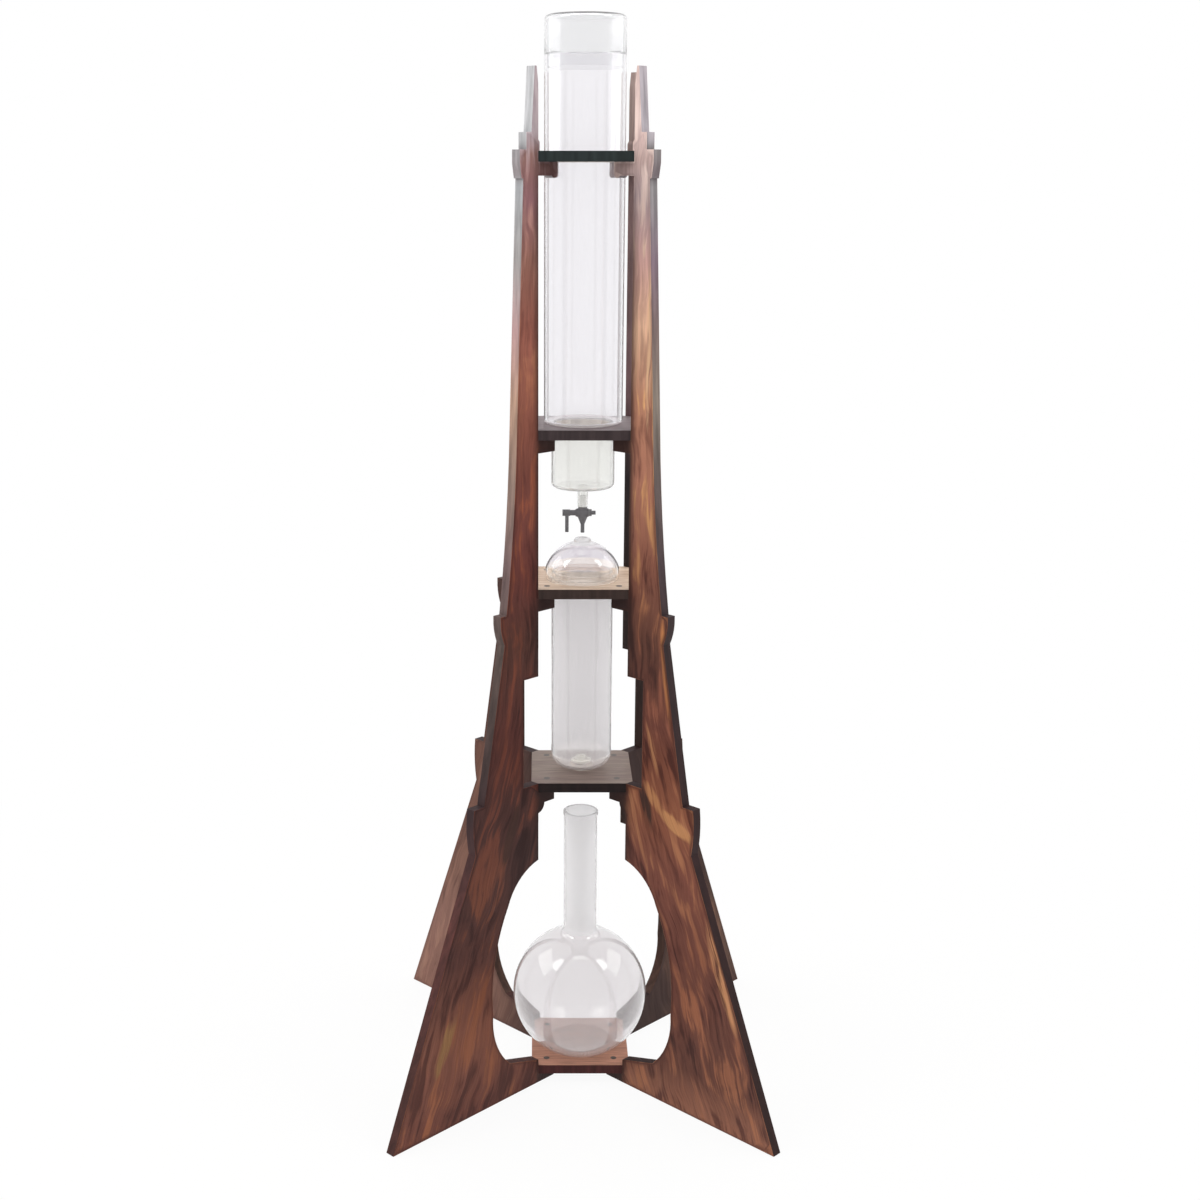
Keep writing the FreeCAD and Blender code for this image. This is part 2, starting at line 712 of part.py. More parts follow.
sleeve = cut_from(
    "tap_sleeve",
    round_bar("sleeve_outside", "sleeve_radius", "stem_bottom", "sleeve_top", along="z"),
    round_bar("sleeve_hole", "tap_inlet", "stem_bottom", "sleeve_top", along="z"))
keep(sleeve, "tap_sleeve")


def seal_groove(name, side):
    """Ring cut round the plug for one seal, on the left (-) or right side of its bore."""
    middle = "- groove_place" if side == "left" else "groove_place"
    outer = round_bar(name + "_outer", "plug_bore", middle + " - groove_half",
                      middle + " + groove_half", level="tap_axis")
    inner = round_bar(name + "_inner", "groove_radius", middle + " - groove_half",
                      middle + " + groove_half", level="tap_axis")
    return cut_from(name, outer, inner)


plug_outside = joined("plug_outside", [
    round_bar("plug_spigot", "plug_spigot", "- hub_end", "- hub_start", level="tap_axis"),
    round_bar("plug_arm", "plug_arm", "- hub_start", "- tap_barrel_half", level="tap_axis"),
    round_bar("plug_collar", "plug_collar", "- tap_barrel_half - plug_collar_width",
              "- tap_barrel_half", level="tap_axis"),
    round_bar("plug_shaft", "plug_radius", "- tap_barrel_half", "tap_barrel_half",
              level="tap_axis"),
    round_bar("plug_thread", "plug_thread", "tap_barrel_half", "plug_tip", level="tap_axis"),
])
plug_hollow = joined("plug_hollow", [
    seal_groove("left_groove", "left"),
    seal_groove("right_groove", "right"),
    round_bar("plug_port", "tap_bore", "tap_axis - plug_bore", "tap_axis + plug_bore", along="z"),
])
keep(cut_from("tap_plug", plug_outside, plug_hollow), "tap_plug")


def seal_ring(side):
    ring = doc.addObject("Part::Torus", side + "_seal")
    bind(ring, Radius1="plug_radius - seal_radius", Radius2="seal_radius")
    middle = "- groove_place" if side == "left" else "groove_place"
    return place(ring, x=middle, z="tap_axis", axis=(0, 1, 0), angle=90.0)


seals = doc.addObject("Part::Compound", "plug_seals")
seals.Links = [seal_ring("left"), seal_ring("right")]
keep(seals, "plug_seals")

washer = cut_from(
    "tap_washer",
    round_bar("washer_outside", "washer_radius", "tap_barrel_half",
              "tap_barrel_half + washer_thickness", level="tap_axis"),
    round_bar("washer_hole", "plug_thread", "tap_barrel_half",
              "tap_barrel_half + washer_thickness", level="tap_axis"))
keep(washer, "tap_washer")

nut_blank = doc.addObject("Part::Prism", "nut_blank")
nut_blank.Polygon = 6
bind(nut_blank, Circumradius="nut_radius", Height="nut_thickness")
place(nut_blank, x="tap_barrel_half + washer_thickness", z="tap_axis", axis=(0, 1, 0), angle=90.0)
nut_hole = round_bar("nut_hole", "plug_thread", "tap_barrel_half + washer_thickness",
                     "tap_barrel_half + washer_thickness + nut_thickness", level="tap_axis")
keep(cut_from("tap_nut", nut_blank, nut_hole), "tap_nut")

lever_blade = doc.addObject("Part::Box", "lever_blade")
bind(lever_blade, Length="lever_outer - lever_inner", Height="tap_axis - lever_end",
     Width="lever_half_width + lever_half_width")
place(lever_blade, x="- lever_outer", y="- lever_half_width", z="lever_end")
lever_solid = joined("lever_solid", [
    lever_blade,
    round_bar("lever_hub", "hub_radius", "- hub_end", "- hub_start", level="tap_axis"),
    round_bar("lever_end_round", "lever_half_width", "- lever_outer", "- lever_inner",
              level="lever_end"),
])
lever_hole = round_bar("lever_hole", "plug_spigot", "- hub_end", "- hub_start", level="tap_axis")
keep(cut_from("tap_lever", lever_solid, lever_hole), "tap_lever")

# ---------------------------------------------------------------------------------------------
# Checks and export
# ---------------------------------------------------------------------------------------------
doc.recompute()
for thing in doc.Objects:
    if "Invalid" in thing.State or "Error" in thing.State:
        raise RuntimeError(f"{thing.Label} failed: {thing.State}")
os.makedirs("parts", exist_ok=True)
for part, node in parts:
    shape = part.Shape
    if shape.isNull() or not shape.isValid() or shape.Volume <= 0:
        raise RuntimeError(f"{node} has no valid shape")
    solids = len(shape.Solids)
    print(f"{node:22s} solids {solids:2d}  faces {len(shape.Faces):3d}  volume {shape.Volume:10.0f}")
    shape.exportStep(os.path.join("parts", node + ".step"))
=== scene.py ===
# %% [markdown]
# A cold drip coffee tower, dressed for its portrait.
# Water drips from the glass vessel at the top, through a small tap, over ground coffee in the
# glass chamber, and into the round flask at the bottom. Four torched wooden fins and five small
# shelves hold the glass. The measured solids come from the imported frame; each step below gives
# one kind of piece its worked edges and its finish.

# %% Load the measured frame
import math

import bmesh
import bpy
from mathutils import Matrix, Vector, noise


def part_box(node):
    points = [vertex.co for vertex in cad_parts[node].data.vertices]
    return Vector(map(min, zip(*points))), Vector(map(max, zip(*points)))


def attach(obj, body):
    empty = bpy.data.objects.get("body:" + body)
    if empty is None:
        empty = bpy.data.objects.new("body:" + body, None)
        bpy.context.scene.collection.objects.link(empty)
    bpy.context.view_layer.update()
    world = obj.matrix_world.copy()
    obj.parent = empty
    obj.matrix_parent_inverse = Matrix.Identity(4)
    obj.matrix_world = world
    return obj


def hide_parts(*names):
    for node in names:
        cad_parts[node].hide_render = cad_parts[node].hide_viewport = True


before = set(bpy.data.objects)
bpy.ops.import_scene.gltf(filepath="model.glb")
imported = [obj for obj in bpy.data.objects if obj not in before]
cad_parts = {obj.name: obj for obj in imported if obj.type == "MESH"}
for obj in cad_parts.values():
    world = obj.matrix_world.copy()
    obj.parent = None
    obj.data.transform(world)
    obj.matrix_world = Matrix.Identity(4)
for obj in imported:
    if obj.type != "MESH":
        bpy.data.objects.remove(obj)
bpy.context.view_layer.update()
MM = 0.001

# %% [markdown]
# Finishes are node trees. Colours are written as the hex values that a screen shows, but the
# renderer adds up light, so one function turns them to linear values. A second small function
# adds any node with its settings and its links; everything else is spelled out where it is used.

# %% Colour and node helpers
def linear(hex_colour):
    """A screen colour such as "7A4B3A" as linear red, green, blue and alpha."""
    screen = [int(hex_colour[start:start + 2], 16) / 255 for start in (0, 2, 4)]
    return [part / 12.92 if part <= 0.04045 else ((part + 0.055) / 1.055) ** 2.4
            for part in screen] + [1.0]


def add_node(tree, kind, inputs=None, **settings):
    """Add a node, set its properties, and fill its inputs with values or with other outputs."""
    node = tree.nodes.new(kind)
    for name, value in settings.items():
        setattr(node, name, value)
    for key, value in (inputs or {}).items():
        if isinstance(value, bpy.types.NodeSocket):
            tree.links.new(value, node.inputs[key])
        else:
            node.inputs[key].default_value = value
    return node


def new_material(name, numbers):
    """A Principled material with these plain numbers on the shader's own sockets."""
    material = bpy.data.materials.new(name)
    material.use_nodes = True
    shader = material.node_tree.nodes["Principled BSDF"]
    for socket, value in numbers.items():
        shader.inputs[socket].default_value = value
    return material, material.node_tree, shader


print("mid grey in linear light", round(linear("808080")[0], 3))

# %% [markdown]
# The camera stands a good stride in front of the tower, a little to its left, at the height of
# the upper shelf, and looks slightly down. The lens is a short telephoto, so the fins keep their
# straight lines. A small shift of the film, as on a view camera, frames the tower without
# turning the camera.

# %% Camera
CAMERA_PLACE = Vector((-0.0441, -1.7209, 0.9602))
LOOK_DOWN = math.radians(14.447)
FRAME_PIXELS = 1200
FOCAL_PIXELS = 1695.1
CENTRE_PIXEL = (539.9, 612.2)

lens = bpy.data.cameras.new("portrait_camera")
lens.sensor_width = 36.0
lens.lens = FOCAL_PIXELS / FRAME_PIXELS * lens.sensor_width
lens.shift_x = 0.5 - CENTRE_PIXEL[0] / FRAME_PIXELS
lens.shift_y = CENTRE_PIXEL[1] / FRAME_PIXELS - 0.5
camera = bpy.data.objects.new("portrait_camera", lens)
camera.location = CAMERA_PLACE
camera.rotation_euler = (math.pi / 2 - LOOK_DOWN, 0.0, 0.0)
bpy.context.scene.collection.objects.link(camera)
bpy.context.scene.camera = camera
print("lens", round(lens.lens, 1), "mm, shift", round(lens.shift_x, 4), round(lens.shift_y, 4))

# %% [markdown]
# A plain studio: a white room and soft lamps. Two round softboxes stand high at the front
# corners, which leaves the two soft spots on the round flask. Two wide ones stand at the sides,
# above the ring shelf, so that only the lid and the top of the vessel mirror them as white
# bands. A fifth hangs overhead. The room itself lights matt surfaces evenly; what the glass and
# the polish mirror is white behind the tower and darker in front.

# %% Room and lamps
bpy.context.scene.view_settings.view_transform = "Standard"

AMBIENT = 0.7               # how strongly the room lights matt surfaces
FRONT_OF_ROOM = 0.65        # how bright its front is in mirror images
FRONT_TO_BACK = (-0.5, 0.35)        # between these directions along Y it turns to full white
room = bpy.data.worlds.new("white_room")
room.use_nodes = True
bpy.context.scene.world = room
tree = room.node_tree
tree.nodes.clear()
ray = add_node(tree, "ShaderNodeLightPath")
direction = add_node(tree, "ShaderNodeTexCoord")
split = add_node(tree, "ShaderNodeSeparateXYZ", {0: direction.outputs["Generated"]})
mirrored = add_node(tree, "ShaderNodeMapRange", {
    "Value": split.outputs["Y"], "From Min": FRONT_TO_BACK[0], "From Max": FRONT_TO_BACK[1],
    "To Min": FRONT_OF_ROOM, "To Max": 1.0}, interpolation_type="SMOOTHSTEP")
only_mirrored = add_node(tree, "ShaderNodeMath", {
    0: ray.outputs["Is Glossy Ray"], 1: ray.outputs["Is Transmission Ray"]},
    operation="SUBTRACT", use_clamp=True)
seen_level = add_node(tree, "ShaderNodeMix", {
    0: only_mirrored.outputs[0], 2: 1.0, 3: mirrored.outputs[0]})
plain = add_node(tree, "ShaderNodeBackground", {"Color": linear("FFFFFF"), "Strength": AMBIENT})
shown = add_node(tree, "ShaderNodeBackground", {
    "Color": linear("FFFFFF"), "Strength": seen_level.outputs[0]})
not_matt = add_node(tree, "ShaderNodeMath", {0: 1.0, 1: ray.outputs["Is Diffuse Ray"]},
                    operation="SUBTRACT")
either = add_node(tree, "ShaderNodeMixShader", {
    0: not_matt.outputs[0], 1: plain.outputs[0], 2: shown.outputs[0]})
add_node(tree, "ShaderNodeOutputWorld", {"Surface": either.outputs[0]})


def softbox(name, place, aim, width, height, watts, shape="RECTANGLE"):
    """A flat lamp at place that faces aim, in metres and watts."""
    lamp = bpy.data.lights.new(name, "AREA")
    lamp.shape = shape
    lamp.size, lamp.size_y, lamp.energy = width, height, watts
    box = bpy.data.objects.new(name, lamp)
    box.location = place
    box.rotation_euler = (Vector(aim) - Vector(place)).to_track_quat("-Z", "Y").to_euler()
    bpy.context.scene.collection.objects.link(box)


softbox("front_left_lamp", (-1.2, -0.45, 1.88), (0, 0, 0.3), 0.8, 0.8, 8, "ELLIPSE")
softbox("front_right_lamp", (1.2, -0.45, 1.88), (0, 0, 0.3), 0.75, 0.75, 7, "ELLIPSE")
softbox("left_side_lamp", (-1.5, 0.3, 1.35), (0, 0.1, 0.9), 1.4, 0.8, 6)
softbox("right_side_lamp", (1.5, 0.3, 1.35), (0, 0.1, 0.9), 1.4, 0.8, 5)
softbox("top_lamp", (0.0, 0.1, 2.6), (0, 0, 0), 1.2, 1.2, 8)

# %% [markdown]
# The floor is a pale sheet. It is mostly seen as white, like the room, and keeps a faint soft
# shadow round the feet. Further out it turns fully white, so it meets the room without a line.

# %% Floor
NEAR_WHITE = 0.93           # share of the floor near the tower that simply shows white
FAR_WHITE = 1.2             # metres from the tower where it is fully white
sheet_mesh = bmesh.new()
bmesh.ops.create_grid(sheet_mesh, x_segments=1, y_segments=1, size=6.0)
floor_mesh = bpy.data.meshes.new("floor")
sheet_mesh.to_mesh(floor_mesh)
sheet_mesh.free()
floor = bpy.data.objects.new("floor", floor_mesh)
floor.location.z = -0.5 * MM
bpy.context.scene.collection.objects.link(floor)

floor_paper = bpy.data.materials.new("floor_paper")
floor_paper.use_nodes = True
tree = floor_paper.node_tree
tree.nodes.clear()
ray = add_node(tree, "ShaderNodeLightPath")
spot = add_node(tree, "ShaderNodeTexCoord")
reach = add_node(tree, "ShaderNodeVectorMath", {0: spot.outputs["Object"]}, operation="LENGTH")
shown_white = add_node(tree, "ShaderNodeMapRange", {
    "Value": reach.outputs["Value"], "From Min": 0.3, "From Max": FAR_WHITE,
    "To Min": NEAR_WHITE, "To Max": 1.0}, interpolation_type="SMOOTHSTEP")
matt = add_node(tree, "ShaderNodeBsdfDiffuse", {"Color": linear("F4F2F0")})
white = add_node(tree, "ShaderNodeEmission", {"Color": linear("FFFFFF"), "Strength": 1.0})
not_matt = add_node(tree, "ShaderNodeMath", {0: 1.0, 1: ray.outputs["Is Diffuse Ray"]},
                    operation="SUBTRACT")
share = add_node(tree, "ShaderNodeMath", {0: not_matt.outputs[0], 1: shown_white.outputs[0]},
                 operation="MULTIPLY")
blend = add_node(tree, "ShaderNodeMixShader", {0: share.outputs[0], 1: matt.outputs[0],
                                               2: white.outputs[0]})
add_node(tree, "ShaderNodeOutputMaterial", {"Surface": blend.outputs[0]})
floor_mesh.materials.append(floor_paper)
print("floor", round(floor.dimensions.x, 1), "m wide")

# %% [markdown]
# The worked wood starts from the measured solids. A copy of a solid arrives as loose triangles,
# so its points are merged and its flat triangles are dissolved into whole faces. Then the sharp
# corners are eased with a bevel, as a sander would. A fin's broad faces are also cut into cells,
# so that the board can be made slightly wavy, and so that each point can keep how far it is from
# the nearest edge: torching burns a plank darkest along its edges.

# %% Helpers for eased solids
def solid_copy(node_name):
    """The node's solid as merged points and whole flat faces."""
    work = bmesh.new()
    work.from_mesh(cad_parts[node_name].data)
    bmesh.ops.remove_doubles(work, verts=work.verts, dist=0.002 * MM)
    bmesh.ops.dissolve_limit(work, angle_limit=math.radians(0.5), verts=work.verts,
                             edges=work.edges, delimit=set())
    return work


def sharp_edges(work, degrees):
    """Edges whose two faces turn by more than this angle."""
    return [edge for edge in work.edges
            if len(edge.link_faces) == 2 and edge.calc_face_angle(0.0) > math.radians(degrees)]


def ease_edges(work, degrees, width, segments):
    """Bevel every edge sharper than this angle."""
    bmesh.ops.bevel(work, geom=sharp_edges(work, degrees), offset=width, offset_type="OFFSET",
                    segments=segments, profile=0.5, affect="EDGES", clamp_overlap=True,
                    material=-1)


def finish_piece(work, name, body, materials, stands_for):
    """Turn the bmesh into a piece that rides on its body and stands for one solid. Its normals
    are averaged with the largest faces counting most, so that eased corners look round and broad
    faces stay flat."""
    mesh = bpy.data.meshes.new(name)
    work.to_mesh(mesh)
    work.free()
    for material in materials:
        mesh.materials.append(material)
    mesh.shade_smooth()
    normals = [Vector() for vertex in mesh.vertices]
    for face in mesh.polygons:
        for corner in face.vertices:
            normals[corner] += face.normal * face.area
    mesh.normals_split_custom_set_from_vertices([normal.normalized() for normal in normals])
    piece = bpy.data.objects.new(name, mesh)
    bpy.context.scene.collection.objects.link(piece)
    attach(piece, body)
    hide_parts(stands_for)
    print(f"{name}: {len(mesh.polygons)} faces")


sample = solid_copy("fin_front_left")
print("a fin's solid has", len(sample.faces), "faces once it is merged")
sample.free()

# %% [markdown]
# The fins are softwood planks, torched and oiled. Each face has its own scale of tones by height:
# a usual tone and a bright one, dark at the foot and paler and greyer towards the top. The foot is
# charred deepest; the paler top is partly thinner char and partly a painted sheen of the lamps that
# stand beside the upper tower. Between the usual and the bright tone run streaks, which are noise
# that is squeezed across the grain and drawn out along it, from nearly black through red-brown to
# orange. Each pattern is turned to lie along its own plank, so X runs from the tower's axis
# outwards, Y through the plank and Z up the grain. Below the middle ledge the grain leans outwards
# with the plank's edge.

# %% Torched pine: grain
CLOUD_WIDTH = 36 * MM       # patches where the flame stayed longer
STREAK_WIDTH = 7 * MM       # bands of early and late wood
FIBRE_WIDTH = 1.8 * MM      # real fibres are finer; drawn as coarse as they show
# Each layer: its width, how fast it changes along the grain compared with across, its detail,
# and the range of the noise that is spread out from 0 to 1
GRAIN = {
    "cloud": (CLOUD_WIDTH, 0.4, 5.0, (0.32, 0.68)),
    "streak": (STREAK_WIDTH, 0.09, 5.0, (0.3, 0.7)),
    "fibre": (FIBRE_WIDTH, 0.03, 2.0, (0.3, 0.7)),
}
FLARE_LEVEL = 430 * MM      # below this the grain leans outwards
FLARE_SLOPE = math.tan(math.radians(19))
SWAY_LENGTH = 90 * MM       # the grain also sways a little on its way up
SWAY = 14 * MM


def grain_layers(tree, plank, height, offset):
    """The three layers of the grain, from 0 to 1. offset gives each plank a grain of its own."""
    flare = add_node(tree, "ShaderNodeMapRange", {
        "Value": height, "From Max": FLARE_LEVEL, "To Min": -FLARE_LEVEL * FLARE_SLOPE, "To Max": 0})
    wander = add_node(tree, "ShaderNodeTexNoise", {"Vector": plank, "Scale": 1 / SWAY_LENGTH})
    sway = add_node(tree, "ShaderNodeMapRange", {
        "Value": wander.outputs[0], "To Min": -SWAY, "To Max": SWAY})
    lean = add_node(tree, "ShaderNodeMath", {0: flare.outputs[0], 1: sway.outputs[0]})
    shift = add_node(tree, "ShaderNodeCombineXYZ", {"X": lean.outputs[0]})
    leaning = add_node(tree, "ShaderNodeVectorMath", {0: plank, 1: shift.outputs[0]})
    placed = add_node(tree, "ShaderNodeVectorMath", {0: leaning.outputs[0], 1: offset})
    layers = {}
    for label, (width, along, detail, spread) in GRAIN.items():
        drawn = add_node(tree, "ShaderNodeMapping", {
            "Vector": placed.outputs[0], "Scale": (1, 1, along)})
        pattern = add_node(tree, "ShaderNodeTexNoise", {
            "Vector": drawn.outputs[0], "Scale": 1 / width, "Detail": detail,
            "Roughness": 0.5, "Distortion": 0.9})
        layers[label] = add_node(tree, "ShaderNodeMapRange", {
            "Value": pattern.outputs[0], "From Min": spread[0], "From Max": spread[1]}).outputs[0]
    return layers


print("streaks every", round(STREAK_WIDTH / MM), "mm")

# %% Torched pine: tones and single marks
BURNT_SHARE = (0.42, 0.36, 0.4)     # what burning leaves of a tone's red, green and blue
# Painted shade: the charcoal-dark tone laid on the inner part of each plank, under the shelves
INNER_SHADE_DARK = "2B1917"


def height_scale(tree, level, tones):
    """A scale of colours from the floor to one metre up. tones is a list of (millimetres, screen
    colour)."""
    scale = add_node(tree, "ShaderNodeValToRGB", {0: level})
    stops = scale.color_ramp.elements
    while len(stops) < len(tones):
        stops.new(0.5)
    for stop, (height, colour) in zip(stops, tones):
        stop.position = height * MM
        stop.color = linear(colour)
    return scale.outputs[0]


def with_marks(tree, colour, plank, streak, marks):
    """Lay single ovals over a colour: spots that the flame missed or burnt deeper, and a pale band
    that is partly worn wood and partly a painted highlight. A mark is its reach from the axis,
    level, lean in degrees, half length, half width and tone, with lengths in millimetres. The
    streaks fray its outline."""
    for reach, level, lean, half_length, half_width, tone in marks:
        laid = add_node(tree, "ShaderNodeMapping", {
            "Vector": plank, "Location": (reach * MM, 0, level * MM),
            "Rotation": (0, math.radians(lean), 0),
            "Scale": (half_width * MM, 1, half_length * MM)}, vector_type="TEXTURE")
        oval = add_node(tree, "ShaderNodeTexGradient", {0: laid.outputs[0]},
                        gradient_type="SPHERICAL")
        frayed = add_node(tree, "ShaderNodeMath", {0: oval.outputs["Fac"], 1: streak},
                          operation="MULTIPLY")
        amount = add_node(tree, "ShaderNodeMapRange", {
            "Value": frayed.outputs[0], "From Min": 0.03, "From Max": 0.24, "To Max": 0.9})
        colour = add_node(tree, "ShaderNodeMix", {
            0: amount.outputs[0], 6: colour, 7: linear(tone)}, data_type="RGBA").outputs[2]
    return colour


print("charcoal in linear light", [round(part, 3) for part in linear(INNER_SHADE_DARK)[:3]])

# %% Torched pine: streaks
CHAR_THINS = (550 * MM, 900 * MM)   # between these levels the char gets lighter
CHAR_LEFT = 0.4                     # to this share of what it is lower down
DARK_FROM = (0.48, 0.2)             # grain below the first number is dark, fully so at the second
BRIGHT_FROM = (0.53, 0.8)           # above the first it is bright, fully so at the second


def char_depth(tree, height, char):
    """How deeply the plank is burnt at each height."""
    return add_node(tree, "ShaderNodeMapRange", {
        "Value": height, "From Min": CHAR_THINS[0], "From Max": CHAR_THINS[1],
        "To Min": char, "To Max": CHAR_LEFT * char}).outputs[0]


def with_streaks(tree, tones, grain, depth, char):
    """Lay burnt and bright streaks over the usual tone. tones holds the three as node outputs."""
    dark_share = add_node(tree, "ShaderNodeMapRange", {
        "Value": grain, "From Min": DARK_FROM[0], "From Max": DARK_FROM[1], "To Max": depth},
        interpolation_type="SMOOTHSTEP")
    darkened = add_node(tree, "ShaderNodeMix", {
        0: dark_share.outputs[0], 6: tones["usual"], 7: tones["burnt"]}, data_type="RGBA")
    bright_share = add_node(tree, "ShaderNodeMapRange", {
        "Value": grain, "From Min": BRIGHT_FROM[0], "From Max": BRIGHT_FROM[1], "To Max": char},
        interpolation_type="SMOOTHSTEP")
    return add_node(tree, "ShaderNodeMix", {
        0: bright_share.outputs[0], 6: darkened.outputs[2], 7: tones["bright"]},
        data_type="RGBA").outputs[2]


print("the char thins between", [round(level / MM) for level in CHAR_THINS], "mm up")

# %% Torched pine: along the edges
CHAR_REACH = 8 * MM         # the burnt border comes in from an edge by up to this
WEAR_AND_HIGHLIGHT = (0.9 * MM, 0.3 * MM)         # worn pale and painted as a highlight from the first distance, fully at the second
TOOTH_FADE = 100            # millimetres of height over which the painted shade on the teeth fades


def with_edges(tree, colour, tones, grain, streak, depth):
    """Burn a ragged border along the edges, and turn the very corner pale: partly wear, partly a
    painted highlight where the eased corner catches the lamps.
    """
    edge = add_node(tree, "ShaderNodeAttribute", attribute_name="edge_distance").outputs["Fac"]
    ragged = add_node(tree, "ShaderNodeMath", {0: grain, 1: CHAR_REACH}, operation="MULTIPLY")
    border = add_node(tree, "ShaderNodeMapRange", {
        "Value": edge, "From Min": ragged.outputs[0], "From Max": 0.0, "To Max": depth},
        interpolation_type="SMOOTHSTEP")
    burnt = add_node(tree, "ShaderNodeMix", {
        0: border.outputs[0], 6: colour, 7: tones["burnt"]}, data_type="RGBA")
    pale_corner = add_node(tree, "ShaderNodeMapRange", {
        "Value": edge, "From Min": WEAR_AND_HIGHLIGHT[0], "From Max": WEAR_AND_HIGHLIGHT[1], "To Max": streak})
    return add_node(tree, "ShaderNodeMix", {
        0: pale_corner.outputs[0], 6: burnt.outputs[2], 7: tones["bright"]},
        data_type="RGBA").outputs[2]


def with_painted_inner_shade(tree, colour, reach, height, teeth):
    """Paint the inner part of the plank charcoal dark: painted shade where the teeth sit under the
    shelves near the axis and where a back fin stands behind the front ones. teeth says at which
    reach the inner side starts to darken, where it is fully dark, and at which level that ends, in
    millimetres."""
    begin, full, end = teeth
    tip = add_node(tree, "ShaderNodeMapRange", {
        "Value": reach, "From Min": begin * MM, "From Max": full * MM, "To Max": 0.95},
        interpolation_type="SMOOTHSTEP")
    low = add_node(tree, "ShaderNodeMapRange", {
        "Value": height, "From Min": end * MM, "From Max": (end - TOOTH_FADE) * MM})
    share = add_node(tree, "ShaderNodeMath", {0: tip.outputs[0], 1: low.outputs[0]},
                     operation="MULTIPLY")
    return add_node(tree, "ShaderNodeMix", {
        0: share.outputs[0], 6: colour, 7: linear(INNER_SHADE_DARK)}, data_type="RGBA").outputs[2]


print("the burnt border is up to", round(CHAR_REACH / MM), "mm wide")

# %% Torched pine: broad faces
STREAK_SHARE = 0.45         # how much the streaks count against the clouds


def torched_pine(name, heading, usual, bright, offset, char, teeth, marks):
    """Plank face of torched and oiled pine: satin, with dark charred streaks that mirror little.
    The grain runs up the fin at this heading, and char says how deeply it is burnt."""
    material, tree, shader = new_material(name, {
        "Roughness": 0.55, "IOR": 1.5, "Specular IOR Level": 0.18})
    spot = add_node(tree, "ShaderNodeTexCoord")
    plank = add_node(tree, "ShaderNodeMapping", {
        "Vector": spot.outputs["Object"], "Rotation": (0, 0, -heading)}).outputs[0]
    across = add_node(tree, "ShaderNodeSeparateXYZ", {0: plank})
    reach, height = across.outputs["X"], across.outputs["Z"]
    layers = grain_layers(tree, plank, height, offset)
    streak, fibre = layers["streak"], layers["fibre"]
    grain = add_node(tree, "ShaderNodeMix", {
        0: STREAK_SHARE, 2: layers["cloud"], 3: streak}).outputs[0]
    tones = {"usual": height_scale(tree, height, usual),
             "bright": height_scale(tree, height, bright)}
    tones["burnt"] = add_node(tree, "ShaderNodeVectorMath", {
        0: tones["usual"], 1: BURNT_SHARE}, operation="MULTIPLY").outputs[0]
    depth = char_depth(tree, height, char)

    colour = with_streaks(tree, tones, grain, depth, char)
    colour = with_marks(tree, colour, plank, streak, marks)
    fibre_level = add_node(tree, "ShaderNodeMapRange", {
        "Value": fibre, "To Min": 0.85, "To Max": 1.15})
    colour = add_node(tree, "ShaderNodeVectorMath", {
        0: colour, "Scale": fibre_level.outputs[0]}, operation="SCALE").outputs[0]
    colour = with_edges(tree, colour, tones, grain, streak, depth)
    colour = with_painted_inner_shade(tree, colour, reach, height, teeth)
    tree.links.new(colour, shader.inputs["Base Color"])

    # Late wood is denser, so the oil shines more on it, and brushing leaves it a little proud
    gloss = add_node(tree, "ShaderNodeMapRange", {
        "Value": streak, "To Min": 0.58, "To Max": 0.42})
    tree.links.new(gloss.outputs[0], shader.inputs["Roughness"])
    relief = add_node(tree, "ShaderNodeMath", {0: fibre, 1: streak})
    bump = add_node(tree, "ShaderNodeBump", {
        "Height": relief.outputs[0], "Strength": 0.3, "Distance": 0.2 * MM})
    tree.links.new(bump.outputs[0], shader.inputs["Normal"])
    return material


print("streaks count for", STREAK_SHARE, "of the grain and clouds for the rest")

# %% [markdown]
# The plank's cut edges met the flame from two sides, so low down they are charred deepest. Higher
# up they turn grey, partly where the flame only passed and partly as a painted sheen of the side
# lamps; the outer edges that face away from the brighter left lamps are painted darker as shade.
# They get a plainer finish than the broad faces: one scale of tones by height, with worn streaks
# that run along the edge.

# %% Charred pine: the plank's cut edges
CHAR_LINE = 6 * MM          # streaks of soot and wear along an edge


def charred_pine(name, tones):
    """Cut edge of torched pine, dull as soot: charred low down, greyer higher up, partly where the
    flame only passed and partly as painted sheen and shade in the tones. tones is a scale by height."""
    material, tree, shader = new_material(name, {
        "Roughness": 0.6, "IOR": 1.5, "Specular IOR Level": 0.2})
    spot = add_node(tree, "ShaderNodeTexCoord")
    height = add_node(tree, "ShaderNodeSeparateXYZ", {0: spot.outputs["Object"]}).outputs["Z"]
    drawn = add_node(tree, "ShaderNodeMapping", {
        "Vector": spot.outputs["Object"], "Scale": (1, 1, 0.08)})
    worn_streak = add_node(tree, "ShaderNodeTexNoise", {
        "Vector": drawn.outputs[0], "Scale": 1 / CHAR_LINE, "Detail": 4.0, "Roughness": 0.6})
    level = add_node(tree, "ShaderNodeMapRange", {
        "Value": worn_streak.outputs[0], "From Min": 0.35, "From Max": 0.68, "To Min": 0.72,
        "To Max": 1.3})
    colour = add_node(tree, "ShaderNodeVectorMath", {
        0: height_scale(tree, height, tones), "Scale": level.outputs[0]}, operation="SCALE")
    tree.links.new(colour.outputs[0], shader.inputs["Base Color"])
    bump = add_node(tree, "ShaderNodeBump", {
        "Height": worn_streak.outputs[0], "Strength": 0.4, "Distance": 0.5 * MM})
    tree.links.new(bump.outputs[0], shader.inputs["Normal"])
    return material
